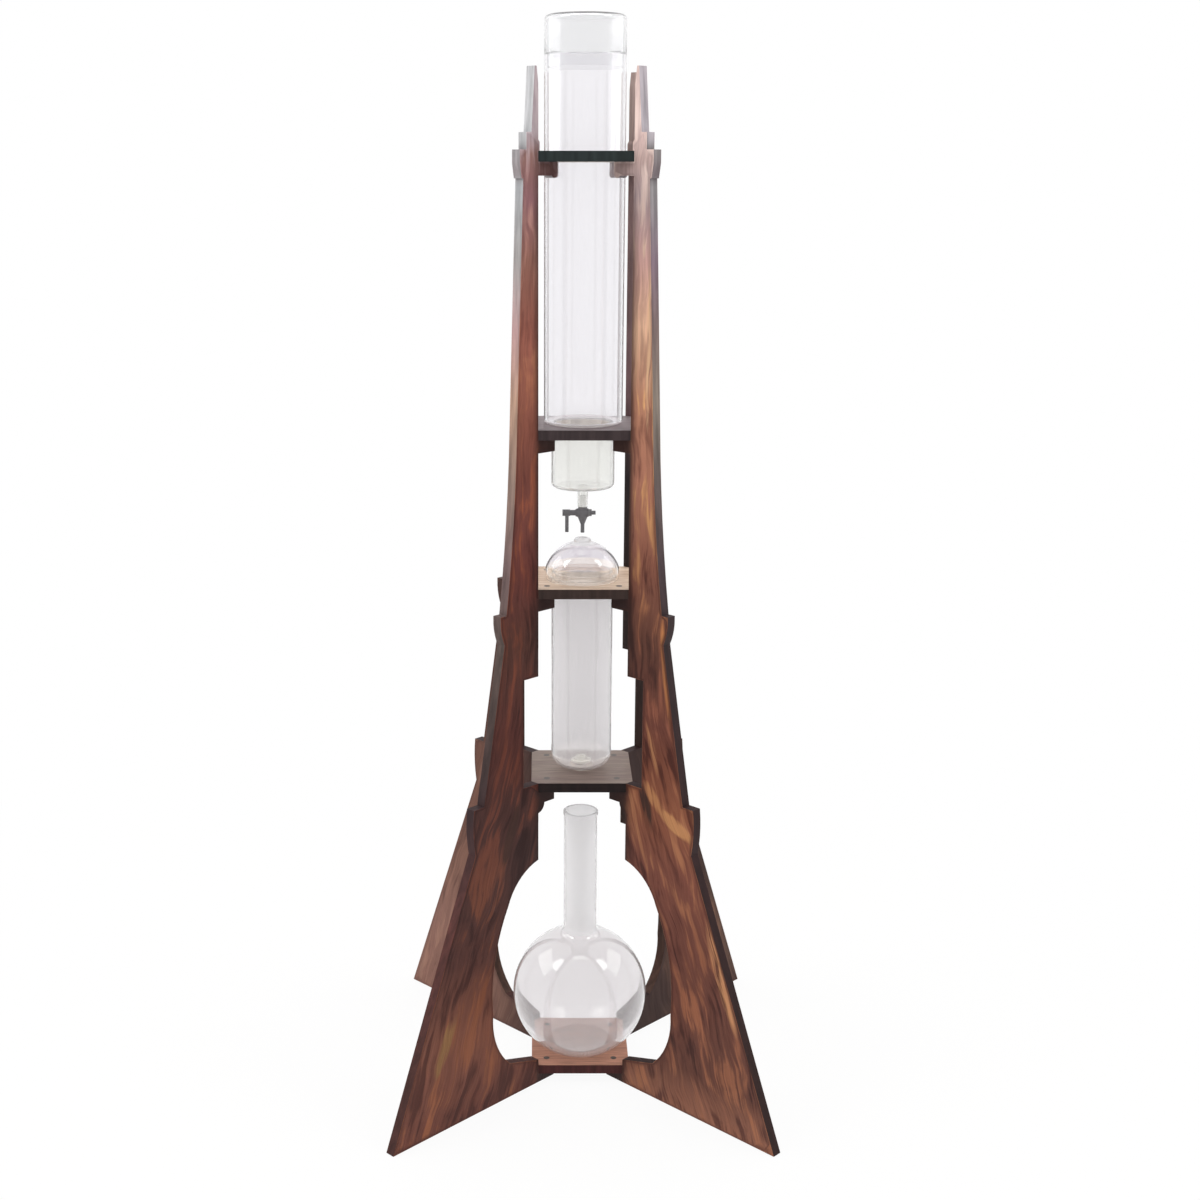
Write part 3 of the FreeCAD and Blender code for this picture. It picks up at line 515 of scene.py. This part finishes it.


# Painted light in the edge tones: the grey towards the top is partly a painted sheen of the side
# lamps, and the right edges, turned away from the brighter left lamps, are darker as painted shade.
LEFT_EDGE = [(60, "432622"), (214, "56302C"), (330, "322022"), (500, "524540"), (586, "6F5A59"),
             (667, "8C756A"), (747, "AC8B78"), (815, "A98887"), (880, "A49E9D"), (950, "ABADB0"),
             (962, "8E8587"), (985, "9C989A"), (990, "B4B4B6"), (1000, "BCBCBE")]
RIGHT_EDGE = [(60, "2A1614"), (330, "2A1617"), (500, "2E1F20"), (586, "3E3033"), (667, "5C504D"),
              (747, "80746A"), (815, "74625F"), (880, "786570"), (950, "8A8687"), (962, "6C6064"),
              (985, "7E7878"), (990, "9A9498"), (1000, "A8A0A6")]
left_edge = charred_pine("char_and_painted_light_edge_left", LEFT_EDGE)
right_edge = charred_pine("char_and_painted_light_edge_right", RIGHT_EDGE)
# The edges that face the tower's axis are near black: partly char, partly painted shade between the
# fins. The back fins' inner edges are painted dark low down, in the shade of the front fins, and
# paler with a painted sheen at the top.
inner_edge = charred_pine("char_and_painted_shade_edge_inner", [(100, "33241F"), (600, "2A1E1E"),
                                                      (900, "3A2E30")])
back_inner_edge = charred_pine("char_and_painted_shade_edge_back", [
    (80, "4A342C"), (200, "3A2822"), (650, "2A2020"), (740, "6A5052"), (960, "846A68"),
    (1000, "A08A84")])
print(left_edge.name, right_edge.name, inner_edge.name)

# %% [markdown]
# All four fins have the same outline, but no two boards are alike. A fin could get its waviness
# from a displaced surface, but then its corners would wave too. So the eased solid is cut into
# cells, and only points away from an edge are moved, by smooth noise.

# %% Shape the fins
CORNER = 25                 # degrees; sharper edges than this are eased
EASE = 0.9 * MM             # how much a sander takes off a corner
CELL = 12 * MM              # size of the cells that a broad face is cut into
WAVE = 0.25 * MM            # how far a board is from flat
WAVES_ALONG = 16            # how often it waves in a metre along the plank's width
WAVES_UP = 5                # and up the plank
NEXT_BOARD = 7              # how far apart two boards lie in the noise that makes the waves
BROAD = 0.35                # faces that point this much through the plank get the broad finish
INWARDS = -0.4              # others that point this much to the tower's axis get the inner one


def cut_cells(work, normal, low, high):
    """Cut the whole solid along evenly spaced planes across one direction."""
    steps = int((high - low) / CELL)
    for number in range(1, steps):
        everything = work.verts[:] + work.edges[:] + work.faces[:]
        bmesh.ops.bisect_plane(work, geom=everything, dist=0.0001 * MM, plane_no=normal,
                               plane_co=normal * (low + (high - low) * number / steps))


def distance_to(point, start, end):
    """Distance from a point to the stretch between start and end."""
    way = end - start
    share = max(0.0, min(1.0, (point - start).dot(way) / way.length_squared))
    return (point - (start + way * share)).length


def shape_fin(node_name, heading, materials):
    """Ease, cut and wave one fin. materials are those of its broad faces, of its outer edges
    and of the edges that face the tower's axis."""
    radial = Vector((math.cos(heading), math.sin(heading), 0))
    through = Vector((-math.sin(heading), math.cos(heading), 0))
    up = Vector((0, 0, 1))
    work = solid_copy(node_name)
    half = max(abs(vert.co.dot(through)) for vert in work.verts)
    # The corners round one broad face, laid flat into the middle of the plank, without the edges
    # that run through the plank and the tiniest ones
    rim = [[vert.co - through * vert.co.dot(through) for vert in edge.verts]
           for edge in sharp_edges(work, CORNER)
           if abs((edge.verts[0].co - edge.verts[1].co).dot(through)) < 0.1 * MM
           and edge.calc_length() > 0.5 * MM
           and edge.verts[0].co.dot(through) > 0.98 * half]
    ease_edges(work, CORNER, EASE, 2)
    reach = [vert.co.dot(radial) for vert in work.verts]
    heights = [vert.co.z for vert in work.verts]
    cut_cells(work, up, min(heights), max(heights))
    cut_cells(work, radial, min(reach), max(reach))
    layer = work.verts.layers.float.new("edge_distance")
    for vert in work.verts:
        flat = vert.co - through * vert.co.dot(through)
        near = min(distance_to(flat, start, end) for start, end in rim)
        vert[layer] = near
        side = math.copysign(1.0, vert.co.dot(through))
        if near > 1.5 * EASE:       # clear of the eased corners
            spot = Vector((flat.length * WAVES_ALONG, side, vert.co.z * WAVES_UP))
            spot += radial * NEXT_BOARD
            vert.co += through * side * WAVE * min(1.0, near / CELL) * noise.noise(spot)
    for face in work.faces:
        if abs(face.normal.dot(through)) > BROAD:
            face.material_index = 0
        else:
            face.material_index = 2 if face.normal.dot(radial) < INWARDS else 1
    finish_piece(work, node_name + "_plank", "tower", materials, node_name)


print("cells of", round(CELL / MM), "mm, waves of", WAVE / MM, "mm")

# %% Tones of the four fins
# Scales of tones by height, in millimetres. The front left fin is darker than the right, and the
# back right darker than the back left low down: partly burnt deeper, partly painted shade on the
# faces that turn away from the brighter left lamps. Towards the top all grow paler with a painted
# sheen.
LEFT_USUAL = [(0, "673B30"), (100, "744738"), (180, "50302A"), (262, "452A26"), (330, "432824"),
              (417, "532C26"), (502, "4D2D25"), (586, "65352F"), (667, "6D3C32"), (747, "8D5545"),
              (815, "8E5547"), (881, "855A4E"), (938, "885E62"), (980, "8A665F"), (1000, "AC9CA0")]
LEFT_BRIGHT = [(0, "8E563A"), (180, "744430"), (330, "66382C"), (500, "703B2A"), (670, "94523A"),
               (815, "AF7358"), (960, "A67F7D"), (1000, "C0B0B4")]
RIGHT_USUAL = [(0, "96644F"), (50, "603A2F"), (182, "6A3F34"), (262, "774639"), (329, "844F39"),
               (417, "663A2F"), (502, "5B382D"), (586, "815141"), (667, "AB735D"), (747, "B17D64"),
               (815, "DCB092"), (881, "BD958D"), (940, "9C898C"), (975, "B89E98"), (1000, "EED2CA")]
RIGHT_BRIGHT = [(0, "A86E50"), (60, "8C5840"), (110, "965E44"), (180, "8A563F"), (330, "A87050"),
                (420, "885240"), (500, "8B543E"), (586, "A67450"), (667, "CC9666"), (747, "DBA875"),
                (815, "DEB88D"), (940, "C8B0A8"), (1000, "F6DED4")]
BACK_LEFT_USUAL = [(0, "866054"), (100, "845F54"), (180, "805B4D"), (330, "6E4A3E"),
                   (500, "593D35"), (700, "483333"), (940, "80686A")]
BACK_LEFT_BRIGHT = [(0, "A27967"), (180, "986F5F"), (330, "8E6756"), (500, "724F42"),
                    (940, "A08A88")]
BACK_RIGHT_USUAL = [(0, "62463A"), (330, "553C33"), (500, "4A352E"), (700, "4E3936"),
                    (940, "80686A")]
BACK_RIGHT_BRIGHT = [(0, "8E664F"), (330, "7A5442"), (500, "6E4A3C"), (940, "A08A88")]
# Marks: reach from the axis, level, lean, half length, half width and tone. The right fin has
# a knot with a pale diagonal under the drip shelf, and a pale band along its edge high up,
# partly worn wood and partly a painted highlight.
RIGHT_MARKS = [(98, 328, -15, 34, 9, "30201C"), (108, 340, -40, 24, 8, "AE7850"),
               (138, 318, -64, 30, 9, "BA8458"), (203, 172, -21, 70, 9, "C08860"),
               (106, 392, -16, 34, 5, "A2704E"), (123, 474, -8, 66, 7, "B8784A"),
               (92, 790, 0, 90, 4, "D6AE8A")]
LEFT_MARKS = [(110, 300, -20, 40, 9, "38241F"), (205, 95, -25, 40, 9, "84603C")]
# Each fin: heading, usual and bright tones, where its grain starts, depth of char, where its
# teeth and inner part take the painted shade, marks, and the materials of its outer edges and of
# its inner ones
FINS = {
    "fin_front_left": (225, LEFT_USUAL, LEFT_BRIGHT, (0.3, 0.1, 0.2), 0.9, (81, 66, 1025),
                       LEFT_MARKS, left_edge, inner_edge),
    "fin_front_right": (315, RIGHT_USUAL, RIGHT_BRIGHT, (1.1, 0.7, 0.5), 1.0, (81, 66, 975),
                        RIGHT_MARKS, right_edge, inner_edge),
    "fin_back_left": (135, BACK_LEFT_USUAL, BACK_LEFT_BRIGHT, (2.3, 1.7, 0.9), 0.6,
                      (210, 20, 940), (), left_edge, back_inner_edge),
    "fin_back_right": (45, BACK_RIGHT_USUAL, BACK_RIGHT_BRIGHT, (3.1, 2.9, 1.4), 0.8,
                       (330, 60, 940), (), right_edge, back_inner_edge),
}
for node_name, (degrees, usual, bright, offset, char, teeth, marks, *edges) in FINS.items():
    heading = math.radians(degrees)
    face_wood = torched_pine(node_name.replace("fin", "torched_pine"), heading, usual, bright,
                             offset, char, teeth, marks)
    shape_fin(node_name, heading, [face_wood, *edges])

# %% [markdown]
# The shelves are small boards of the same wood, stained and oiled. Their tops carry the glass,
# and their outer edges and undersides are torched black. The tops of the chamber and drip shelves
# are paler, partly stain and partly a painted sheen of the white room. The walls of the holes are
# painted pale: painted light that lifts the shade inside the holes, where they show through the
# glass. One piece with three materials shows this: each face picks its own by where it is and
# which way it points.

# %% Stained shelf boards
BAND_WIDTH = 7 * MM
PORE_WIDTH = 1.4 * MM       # real pores are finer; drawn as coarse as they show


def stain_and_sheen_pine(name, light, mid, dark, offset):
    """Stained and oiled pine with its grain along X: soft bands, thin dark pores, a dull shine. Its
    tones are the stain, and on the chamber and drip shelves also a painted sheen.
    """
    material, tree, shader = new_material(name, {
        "Roughness": 0.5, "IOR": 1.5, "Specular IOR Level": 0.35})
    spot = add_node(tree, "ShaderNodeTexCoord")
    drawn = add_node(tree, "ShaderNodeMapping", {
        "Vector": spot.outputs["Object"], "Scale": (0.06, 1, 1), "Location": offset})
    bands = add_node(tree, "ShaderNodeTexNoise", {
        "Vector": drawn.outputs[0], "Scale": 1 / BAND_WIDTH, "Detail": 4.0, "Roughness": 0.6,
        "Distortion": 0.4})
    pores = add_node(tree, "ShaderNodeTexNoise", {
        "Vector": drawn.outputs[0], "Scale": 1 / PORE_WIDTH, "Detail": 2.0})
    amount = add_node(tree, "ShaderNodeMapRange", {
        "Value": bands.outputs[0], "From Min": 0.35, "From Max": 0.65})
    ground = add_node(tree, "ShaderNodeMix", {
        0: amount.outputs[0], 6: linear(mid), 7: linear(light)}, data_type="RGBA")
    thin = add_node(tree, "ShaderNodeMapRange", {
        "Value": pores.outputs[0], "From Min": 0.6, "From Max": 0.35, "To Max": 0.5})
    colour = add_node(tree, "ShaderNodeMix", {
        0: thin.outputs[0], 6: ground.outputs[2], 7: linear(dark)}, data_type="RGBA")
    tree.links.new(colour.outputs[2], shader.inputs["Base Color"])
    bump = add_node(tree, "ShaderNodeBump", {
        "Height": bands.outputs[0], "Strength": 0.25, "Distance": 0.3 * MM})
    tree.links.new(bump.outputs[0], shader.inputs["Normal"])
    return material


# Each board: light, usual and dark tone of its top, where its grain starts, and its edge's tone
# The pale top of the chamber shelf and the greyish top of the drip shelf are partly stain and partly
# a painted sheen, a reflection of the white room.
SHELVES = {
    "ring_shelf": ("7A6860", "67564F", "4A3E3A", (0.2, 0.4, 0), "283030"),
    "vessel_shelf": ("8C8082", "7C7072", "5A4E50", (1.2, 0.1, 0), "3E3334"),
    "chamber_shelf": ("F0DAC6", "D6BAA2", "A07A5E", (2.2, 0.8, 0), "392B27"),
    "drip_shelf": ("8E7E72", "7F6C66", "584642", (3.2, 1.1, 0), "1E1211"),
    "flask_shelf": ("C08A72", "A6745F", "704A3E", (4.2, 0.6, 0), "472322"),
}
HOLE_REACH = 48 * MM        # the walls of all the holes lie within this reach
SHELF_CORNER = 30           # degrees; sharper edges than this are eased
SHELF_EASE = 0.8 * MM
# Painted light: the hole walls get one flat pale tone that lifts the shade inside the holes.
painted_hole_light = charred_pine("painted_hole_light_pine", [(0, "DCCCC0"), (1000, "DCCCC0")])


def shape_shelf(node_name, top_material, edge_material):
    """Ease one shelf and give its top, its torched sides and its hole their own materials."""
    work = solid_copy(node_name)
    ease_edges(work, SHELF_CORNER, SHELF_EASE, 2)
    for face in work.faces:
        middle = face.calc_center_median()
        outwards = Vector((middle.x, middle.y, 0))
        lines_hole = (outwards.length < HOLE_REACH
                      and face.normal.dot(outwards) < -0.3 * outwards.length)
        face.material_index = 2 if lines_hole else 0 if face.normal.z > 0.5 else 1
    finish_piece(work, node_name + "_board", "tower",
                 [top_material, edge_material, painted_hole_light], node_name)


for node_name, (light, mid, dark, offset, edge_tone) in SHELVES.items():
    shape_shelf(node_name, stain_and_sheen_pine("stain_and_sheen_pine_" + node_name, light, mid, dark, offset),
                charred_pine("charred_pine_" + node_name, [(0, edge_tone), (1000, edge_tone)]))

# %% [markdown]
# The glass is blown and drawn borosilicate. Each vessel is a wall turned about the tower's axis,
# so its outline is drawn once, as a maker's drawing would show it, and spun round in fine steps.
# Sharp rims are rounded a little, as a flame leaves them.

# %% Draw and spin an outline
SPIN_STEPS = 144
RIM_CORNER = 50             # degrees; sharper edges than this are rounded
RIM_EASE = 0.5 * MM
WALL = 2.5 * MM             # of the tubes and the lid
THIN_WALL = 2 * MM          # of the dome and the flask


def arc(centre_reach, centre_level, radius, start, end, steps=10):
    """Points of an arc from one angle to another, in degrees from straight outwards."""
    angles = [math.radians(start + (end - start) * step / steps) for step in range(steps + 1)]
    return [(centre_reach + radius * math.cos(angle), centre_level + radius * math.sin(angle))
            for angle in angles]


def spun(outline, closed=True):
    """Spin an outline of (reach, level) points about the tower's axis into a closed solid."""
    work = bmesh.new()
    dots = [work.verts.new((reach, 0.0, level)) for reach, level in outline]
    chain = [work.edges.new(pair) for pair in zip(dots, dots[1:])]
    if closed:
        chain.append(work.edges.new((dots[-1], dots[0])))
    bmesh.ops.spin(work, geom=dots + chain, cent=(0, 0, 0), axis=(0, 0, 1), dvec=(0, 0, 0),
                   angle=math.tau, steps=SPIN_STEPS, use_merge=True, use_duplicate=False)
    bmesh.ops.remove_doubles(work, verts=work.verts, dist=0.001 * MM)
    bmesh.ops.recalc_face_normals(work, faces=work.faces)
    ease_edges(work, RIM_CORNER, RIM_EASE, 2)
    return work


step_length = math.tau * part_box("water_vessel")[1].x / SPIN_STEPS
print("one step of the spin is", round(step_length / MM, 2), "mm on the vessel")

# %% [markdown]
# Clean glass shows mostly what stands behind it, so in a white room it would all but vanish.
# What makes it visible here is the darker front of the room in its mirror images, a grey tint
# where sight runs along the wall, and a thin haze. Each piece and each reworked part of a piece
# has its own share of these, as a real set that was blown, drawn and used has.

# %% Clear glass
def clear_glass(name, through, rim, haze, gleam, roughness):
    """Borosilicate glass: clear face on, greyer where sight runs along the wall. A thin haze of
    dust and fingerprints keeps it from vanishing against white, and gleam dulls its mirror
    images."""
    material, tree, shader = new_material(name, {
        "Roughness": roughness, "IOR": 1.47, "Transmission Weight": 1.0 - haze,
        "Specular Tint": (gleam, gleam, gleam, 1)})
    facing = add_node(tree, "ShaderNodeLayerWeight", {"Blend": 0.35})
    edge = add_node(tree, "ShaderNodeMath", {0: facing.outputs["Facing"], 1: 2.5},
                    operation="POWER")
    tint = add_node(tree, "ShaderNodeMix", {
        0: edge.outputs[0], 6: linear(through), 7: linear(rim)}, data_type="RGBA")
    tree.links.new(tint.outputs[2], shader.inputs["Base Color"])
    # Light on its way to other surfaces passes nearly straight, so the shadows stay pale
    ray = add_node(tree, "ShaderNodeLightPath")
    soft_ray = add_node(tree, "ShaderNodeMath", {
        0: ray.outputs["Is Shadow Ray"], 1: ray.outputs["Is Diffuse Ray"]}, operation="MAXIMUM")
    passing = add_node(tree, "ShaderNodeBsdfTransparent", {"Color": linear("F4F4F4")})
    blend = add_node(tree, "ShaderNodeMixShader", {
        0: soft_ray.outputs[0], 1: shader.outputs[0], 2: passing.outputs[0]})
    out = [node for node in tree.nodes if node.type == "OUTPUT_MATERIAL"][0]
    tree.links.new(blend.outputs[0], out.inputs["Surface"])
    return material


# Each glass: tone straight through, tone along the wall, haze, gleam and roughness
GLASS = {
    "vessel": ("F7F6F8", "E8E8EC", 0.05, 1.0, 0.0),           # clean drawn tube
    "vessel_base": ("FBF5F6", "F2EEF0", 0.5, 1.0, 0.0),       # thick turn of the wall, milky
    "neck": ("F5F5F3", "E4E4E4", 0.12, 1.0, 0.12),            # worked in the flame, faintly matt
    "lid": ("F2F2F3", "E6E6E8", 0.05, 1.0, 0.0),              # clean, a little greyer
    "dome": ("F1EEF2", "E6E8EE", 0.09, 1.0, 0.04),            # blown, so it mirrors softly
    "ring": ("EEEDEF", "E6E6EA", 0.5, 1.0, 0.2),              # ring round the drip hole, clouded
    "skirt": ("FFF8F0", "F6F0EA", 0.08, 1.0, 0.02),           # tinted warm: a painted reflection of the board
    "chamber": ("E5E3E4", "E2E2E4", 0.16, 0.8, 0.14),         # clouded by steam and fine grounds
    "chamber_base": ("F9F6F5", "F2F0F0", 0.2, 1.0, 0.0),      # its round bottom, clearer
    "flask": ("F0EEEF", "DCDADC", 0.1, 0.9, 0.04),            # thin blown bulb
    "flask_neck": ("EBEAEB", "E6E5E6", 0.3, 0.3, 0.15),       # handled most, so it is dull
}
glass = {place: clear_glass("clear_glass_" + place, *look) for place, look in GLASS.items()}
print("glasses", len(glass))

# %% [markdown]
# The water vessel is a wide tube that stands on a board, with a narrower neck that goes down
# through the board and ends in a stem for the tap's sleeve. It could be joined from cylinders,
# but one spun outline gives it an even wall and the round turns that a flame makes.

# %% Water vessel
low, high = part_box("water_vessel")
vessel_reach, vessel_rim, stem_end = high.x, high.z, low.z
shelf_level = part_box("vessel_shelf")[1].z
neck_reach = 32.3 * MM
neck_level = 650 * MM
neck_round = 5.5 * MM
base_round = 3.5 * MM
base_height = 5 * MM        # of the part that shows the wall's thick turn
stem_reach = 5.4 * MM
stem_bore = 2.5 * MM
sleeve_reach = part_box("tap_sleeve")[1].x
sleeve_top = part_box("tap_sleeve")[1].z
water_vessel = spun(
    [(vessel_reach - WALL, vessel_rim), (vessel_reach, vessel_rim)]
    + arc(vessel_reach - base_round, shelf_level + base_round, base_round, 0, -90, 8)
    + [(neck_reach, shelf_level)]
    + arc(neck_reach - neck_round, neck_level + neck_round, neck_round, 0, -90)
    + [(stem_reach, neck_level), (stem_reach, stem_end), (sleeve_reach, stem_end),
       (sleeve_reach, sleeve_top), (stem_bore, sleeve_top), (stem_bore, neck_level + WALL)]
    + arc(neck_reach - neck_round, neck_level + neck_round, neck_round - WALL, -90, 0)
    + [(neck_reach - WALL, shelf_level + WALL), (vessel_reach - WALL, shelf_level + WALL)])
for face in water_vessel.faces:
    level = face.calc_center_median().z - shelf_level
    face.material_index = 1 if level < -1 * MM else 2 if level < base_height else 0
finish_piece(water_vessel, "water_vessel_glass", "vessel",
             [glass["vessel"], glass["neck"], glass["vessel_base"]], "water_vessel")

# %% [markdown]
# The lid is a small cup turned upside down. Its rim sits on the vessel's, and a collar reaches
# down inside, which keeps it from sliding off. The outline ends on the axis, so it stays open.

# %% Vessel lid
low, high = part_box("vessel_lid")
lid_reach, lid_top, collar_end = high.x, high.z, low.z
collar_reach = 37 * MM
lid_round = 5 * MM
flare_start = vessel_rim + 3.5 * MM     # inside, where the collar widens to the cup
flare_end = vessel_rim + 6.5 * MM
vessel_lid = spun(
    [(0, lid_top)]
    + arc(lid_reach - lid_round, lid_top - lid_round, lid_round, 90, 0)
    + [(lid_reach, vessel_rim), (collar_reach, vessel_rim), (collar_reach, collar_end),
       (collar_reach - WALL, collar_end), (collar_reach - WALL, flare_start),
       (lid_reach - WALL, flare_end)]
    + arc(lid_reach - lid_round, lid_top - lid_round, lid_round - WALL, 0, 90)
    + [(0, lid_top - WALL)], closed=False)
finish_piece(vessel_lid, "vessel_lid_glass", "lid", [glass["lid"]], "vessel_lid")

# %% [markdown]
# The dome keeps dust off the coffee. It is part of a sphere, with a ring of thicker glass round
# the hole that the drops fall through. Its foot is tinted warm, a painted reflection of the board
# that it stands on.

# %% Dome over the coffee
low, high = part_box("dome_lid")
dome_reach, dome_top, dome_foot = high.x, high.z, low.z
dome_sphere = 40.2 * MM
dome_inside = dome_sphere - THIN_WALL
dome_centre = 553.2 * MM
skirt_height = 14 * MM
ring_reach = 9 * MM
ring_round = 3 * MM
ring_height = 6 * MM
drip_hole = 4.5 * MM


def sphere_angle(reach, radius):
    """Angle above level at which a sphere on the axis has this reach."""
    return math.degrees(math.acos(reach / radius))


dome = spun(
    [(dome_reach, dome_foot)]
    + arc(0, dome_centre, dome_sphere, sphere_angle(dome_reach, dome_sphere),
          sphere_angle(ring_reach, dome_sphere), 24)
    + arc(ring_reach - ring_round, dome_top - ring_round, ring_round, 0, 90, 8)
    + [(drip_hole, dome_top)]
    + arc(0, dome_centre, dome_inside, sphere_angle(drip_hole, dome_inside),
          sphere_angle(dome_reach - THIN_WALL, dome_inside), 24)
    + [(dome_reach - THIN_WALL, dome_foot)])
for face in dome.faces:
    level = face.calc_center_median().z
    if level < dome_foot + skirt_height:
        face.material_index = 1
    elif level > dome_top - ring_height:
        face.material_index = 2
finish_piece(dome, "dome_glass", "dome",
             [glass["dome"], glass["skirt"], glass["ring"]], "dome_lid")

# %% [markdown]
# The chamber is a tube that hangs by its flange in the hole of a board. Its round bottom narrows
# to a short outlet with a fine hole. The part inside the dome is tinted warm, a painted reflection
# of the board.

# %% Coffee chamber
low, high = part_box("coffee_chamber")
flange_reach, chamber_rim, outlet_end = high.x, high.z, low.z
chamber_reach = 32 * MM
chamber_floor = 348 * MM
chamber_round = 16 * MM
flange = 3 * MM
hang_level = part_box("chamber_shelf")[1].z
outlet_reach, outlet_bore, drip_bore = 7.6 * MM, 5.6 * MM, 2 * MM
outlet_floor = 2 * MM
chamber = spun(
    [(chamber_reach - WALL, chamber_rim), (chamber_reach, chamber_rim),
     (chamber_reach, hang_level + flange), (flange_reach, hang_level + flange),
     (flange_reach, hang_level), (chamber_reach, hang_level)]
    + arc(chamber_reach - chamber_round, chamber_floor + chamber_round, chamber_round, 0, -90)
    + [(outlet_reach, chamber_floor), (outlet_reach, outlet_end), (drip_bore, outlet_end),
       (drip_bore, outlet_end + outlet_floor), (outlet_bore, outlet_end + outlet_floor),
       (outlet_bore, chamber_floor + WALL)]
    + arc(chamber_reach - chamber_round, chamber_floor + chamber_round, chamber_round - WALL,
          -90, 0))
for face in chamber.faces:
    level = face.calc_center_median().z
    if level < chamber_floor + chamber_round:
        face.material_index = 1
    elif level > hang_level - 1 * MM:
        face.material_index = 2
finish_piece(chamber, "coffee_chamber_glass", "chamber",
             [glass["chamber"], glass["chamber_base"], glass["skirt"]], "coffee_chamber")

# %% [markdown]
# The flask is a sphere with a flat foot, a root that sweeps from the bulb into the long neck, and
# a small lip. The sweep is an arc that touches both the sphere and the neck, so its centre
# follows from their sizes by Pythagoras.

# %% Flask
low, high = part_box("flask")
bulb_reach, flask_rim, flask_foot_level = high.x, high.z, low.z
flask_centre = 83.5 * MM
throat_reach = 18 * MM
lip_reach, lip_height = 18.9 * MM, 4 * MM
root_round = 10 * MM


def level_angle(level, radius):
    """Angle above level at which the bulb, or its inside, has this height."""
    return math.degrees(math.asin((level - flask_centre) / radius))


root_reach = throat_reach + root_round
root_level = flask_centre + math.sqrt((bulb_reach + root_round) ** 2 - root_reach ** 2)
root_lean = math.degrees(math.atan2(root_level - flask_centre, root_reach))
inner_bulb = bulb_reach - THIN_WALL
inner_throat = throat_reach - THIN_WALL
floor_level = flask_foot_level + THIN_WALL
flask = spun(
    [(0, floor_level)]
    + arc(0, flask_centre, inner_bulb, level_angle(floor_level, inner_bulb), root_lean, 60)
    + arc(root_reach, root_level, root_round + THIN_WALL, 180 + root_lean, 180)[1:]
    + [(inner_throat, flask_rim), (lip_reach, flask_rim), (lip_reach, flask_rim - lip_height),
       (throat_reach, flask_rim - lip_height)]
    + arc(root_reach, root_level, root_round, 180, 180 + root_lean)
    + arc(0, flask_centre, bulb_reach, root_lean, level_angle(flask_foot_level, bulb_reach),
          60)[1:]
    + [(0, flask_foot_level)], closed=False)
neck_start = root_level - 5 * MM
for face in flask.faces:
    face.material_index = 1 if face.calc_center_median().z > neck_start else 0
finish_piece(flask, "flask_glass", "flask", [glass["flask"], glass["flask_neck"]],
             "flask")

# %% [markdown]
# The small parts keep their measured solids and only get their finishes. The tap is moulded
# acetal, satin black, with the faint unevenness of a moulding. The seals and the sleeve are
# milky silicone. The filter is a fine porous ceramic, and the screws are blackened steel.

# %% Finishes of the small parts
def fine_grit(name, colour, roughness, grit, relief, **sockets):
    """Plain moulded, fired or blackened surface with a fine grit. sockets are those of the
    shader that make it plastic, rubber, ceramic or metal."""
    material, tree, shader = new_material(name, {"Roughness": roughness, **sockets})
    spot = add_node(tree, "ShaderNodeTexCoord")
    grain = add_node(tree, "ShaderNodeTexNoise", {
        "Vector": spot.outputs["Object"], "Scale": 1 / grit, "Detail": 3.0})
    level = add_node(tree, "ShaderNodeMapRange", {
        "Value": grain.outputs[0], "From Min": 0.3, "From Max": 0.7, "To Min": 0.85,
        "To Max": 1.12})
    shade = add_node(tree, "ShaderNodeVectorMath", {
        0: linear(colour)[:3], "Scale": level.outputs[0]}, operation="SCALE")
    tree.links.new(shade.outputs[0], shader.inputs["Base Color"])
    bump = add_node(tree, "ShaderNodeBump", {
        "Height": grain.outputs[0], "Strength": 0.3, "Distance": relief})
    tree.links.new(bump.outputs[0], shader.inputs["Normal"])
    return material


# Acetal: satin black, painted grey: a painted sheen of the bright room round such a small part
acetal = fine_grit("moulded_acetal_black", "676568", 0.45, 0.9 * MM, 0.05 * MM, IOR=1.48)
# Nylon: a little smoother and paler than the tap it sits against
washer_nylon = fine_grit("moulded_nylon_grey", "8A898A", 0.4, 0.9 * MM, 0.05 * MM, IOR=1.53)
# Silicone: milky, with a soft waxy shine
silicone = fine_grit("milky_silicone", "EEEEEC", 0.35, 1.5 * MM, 0.05 * MM, IOR=1.41)
# Porous ceramic: chalky and matt
ceramic = fine_grit("porous_ceramic", "F6F2E8", 0.6, 0.6 * MM, 0.08 * MM, IOR=1.5)
# Blackened steel: dark, and it glints only where a head catches a lamp
screw_steel = fine_grit("blackened_steel", "5A5450", 0.36, 0.8 * MM, 0.03 * MM, Metallic=1.0)

SMALL_PARTS = {"tap_body": acetal, "tap_plug": acetal, "tap_lever": acetal, "tap_nut": acetal,
               "tap_washer": washer_nylon, "tap_sleeve": silicone, "plug_seals": silicone,
               "filter_ring": silicone, "drip_filter": ceramic}
for shelf_name in SHELVES:
    SMALL_PARTS[shelf_name + "_screws"] = screw_steel
for node_name, material in SMALL_PARTS.items():
    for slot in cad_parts[node_name].material_slots:
        slot.material = material
print("small parts", len(SMALL_PARTS))
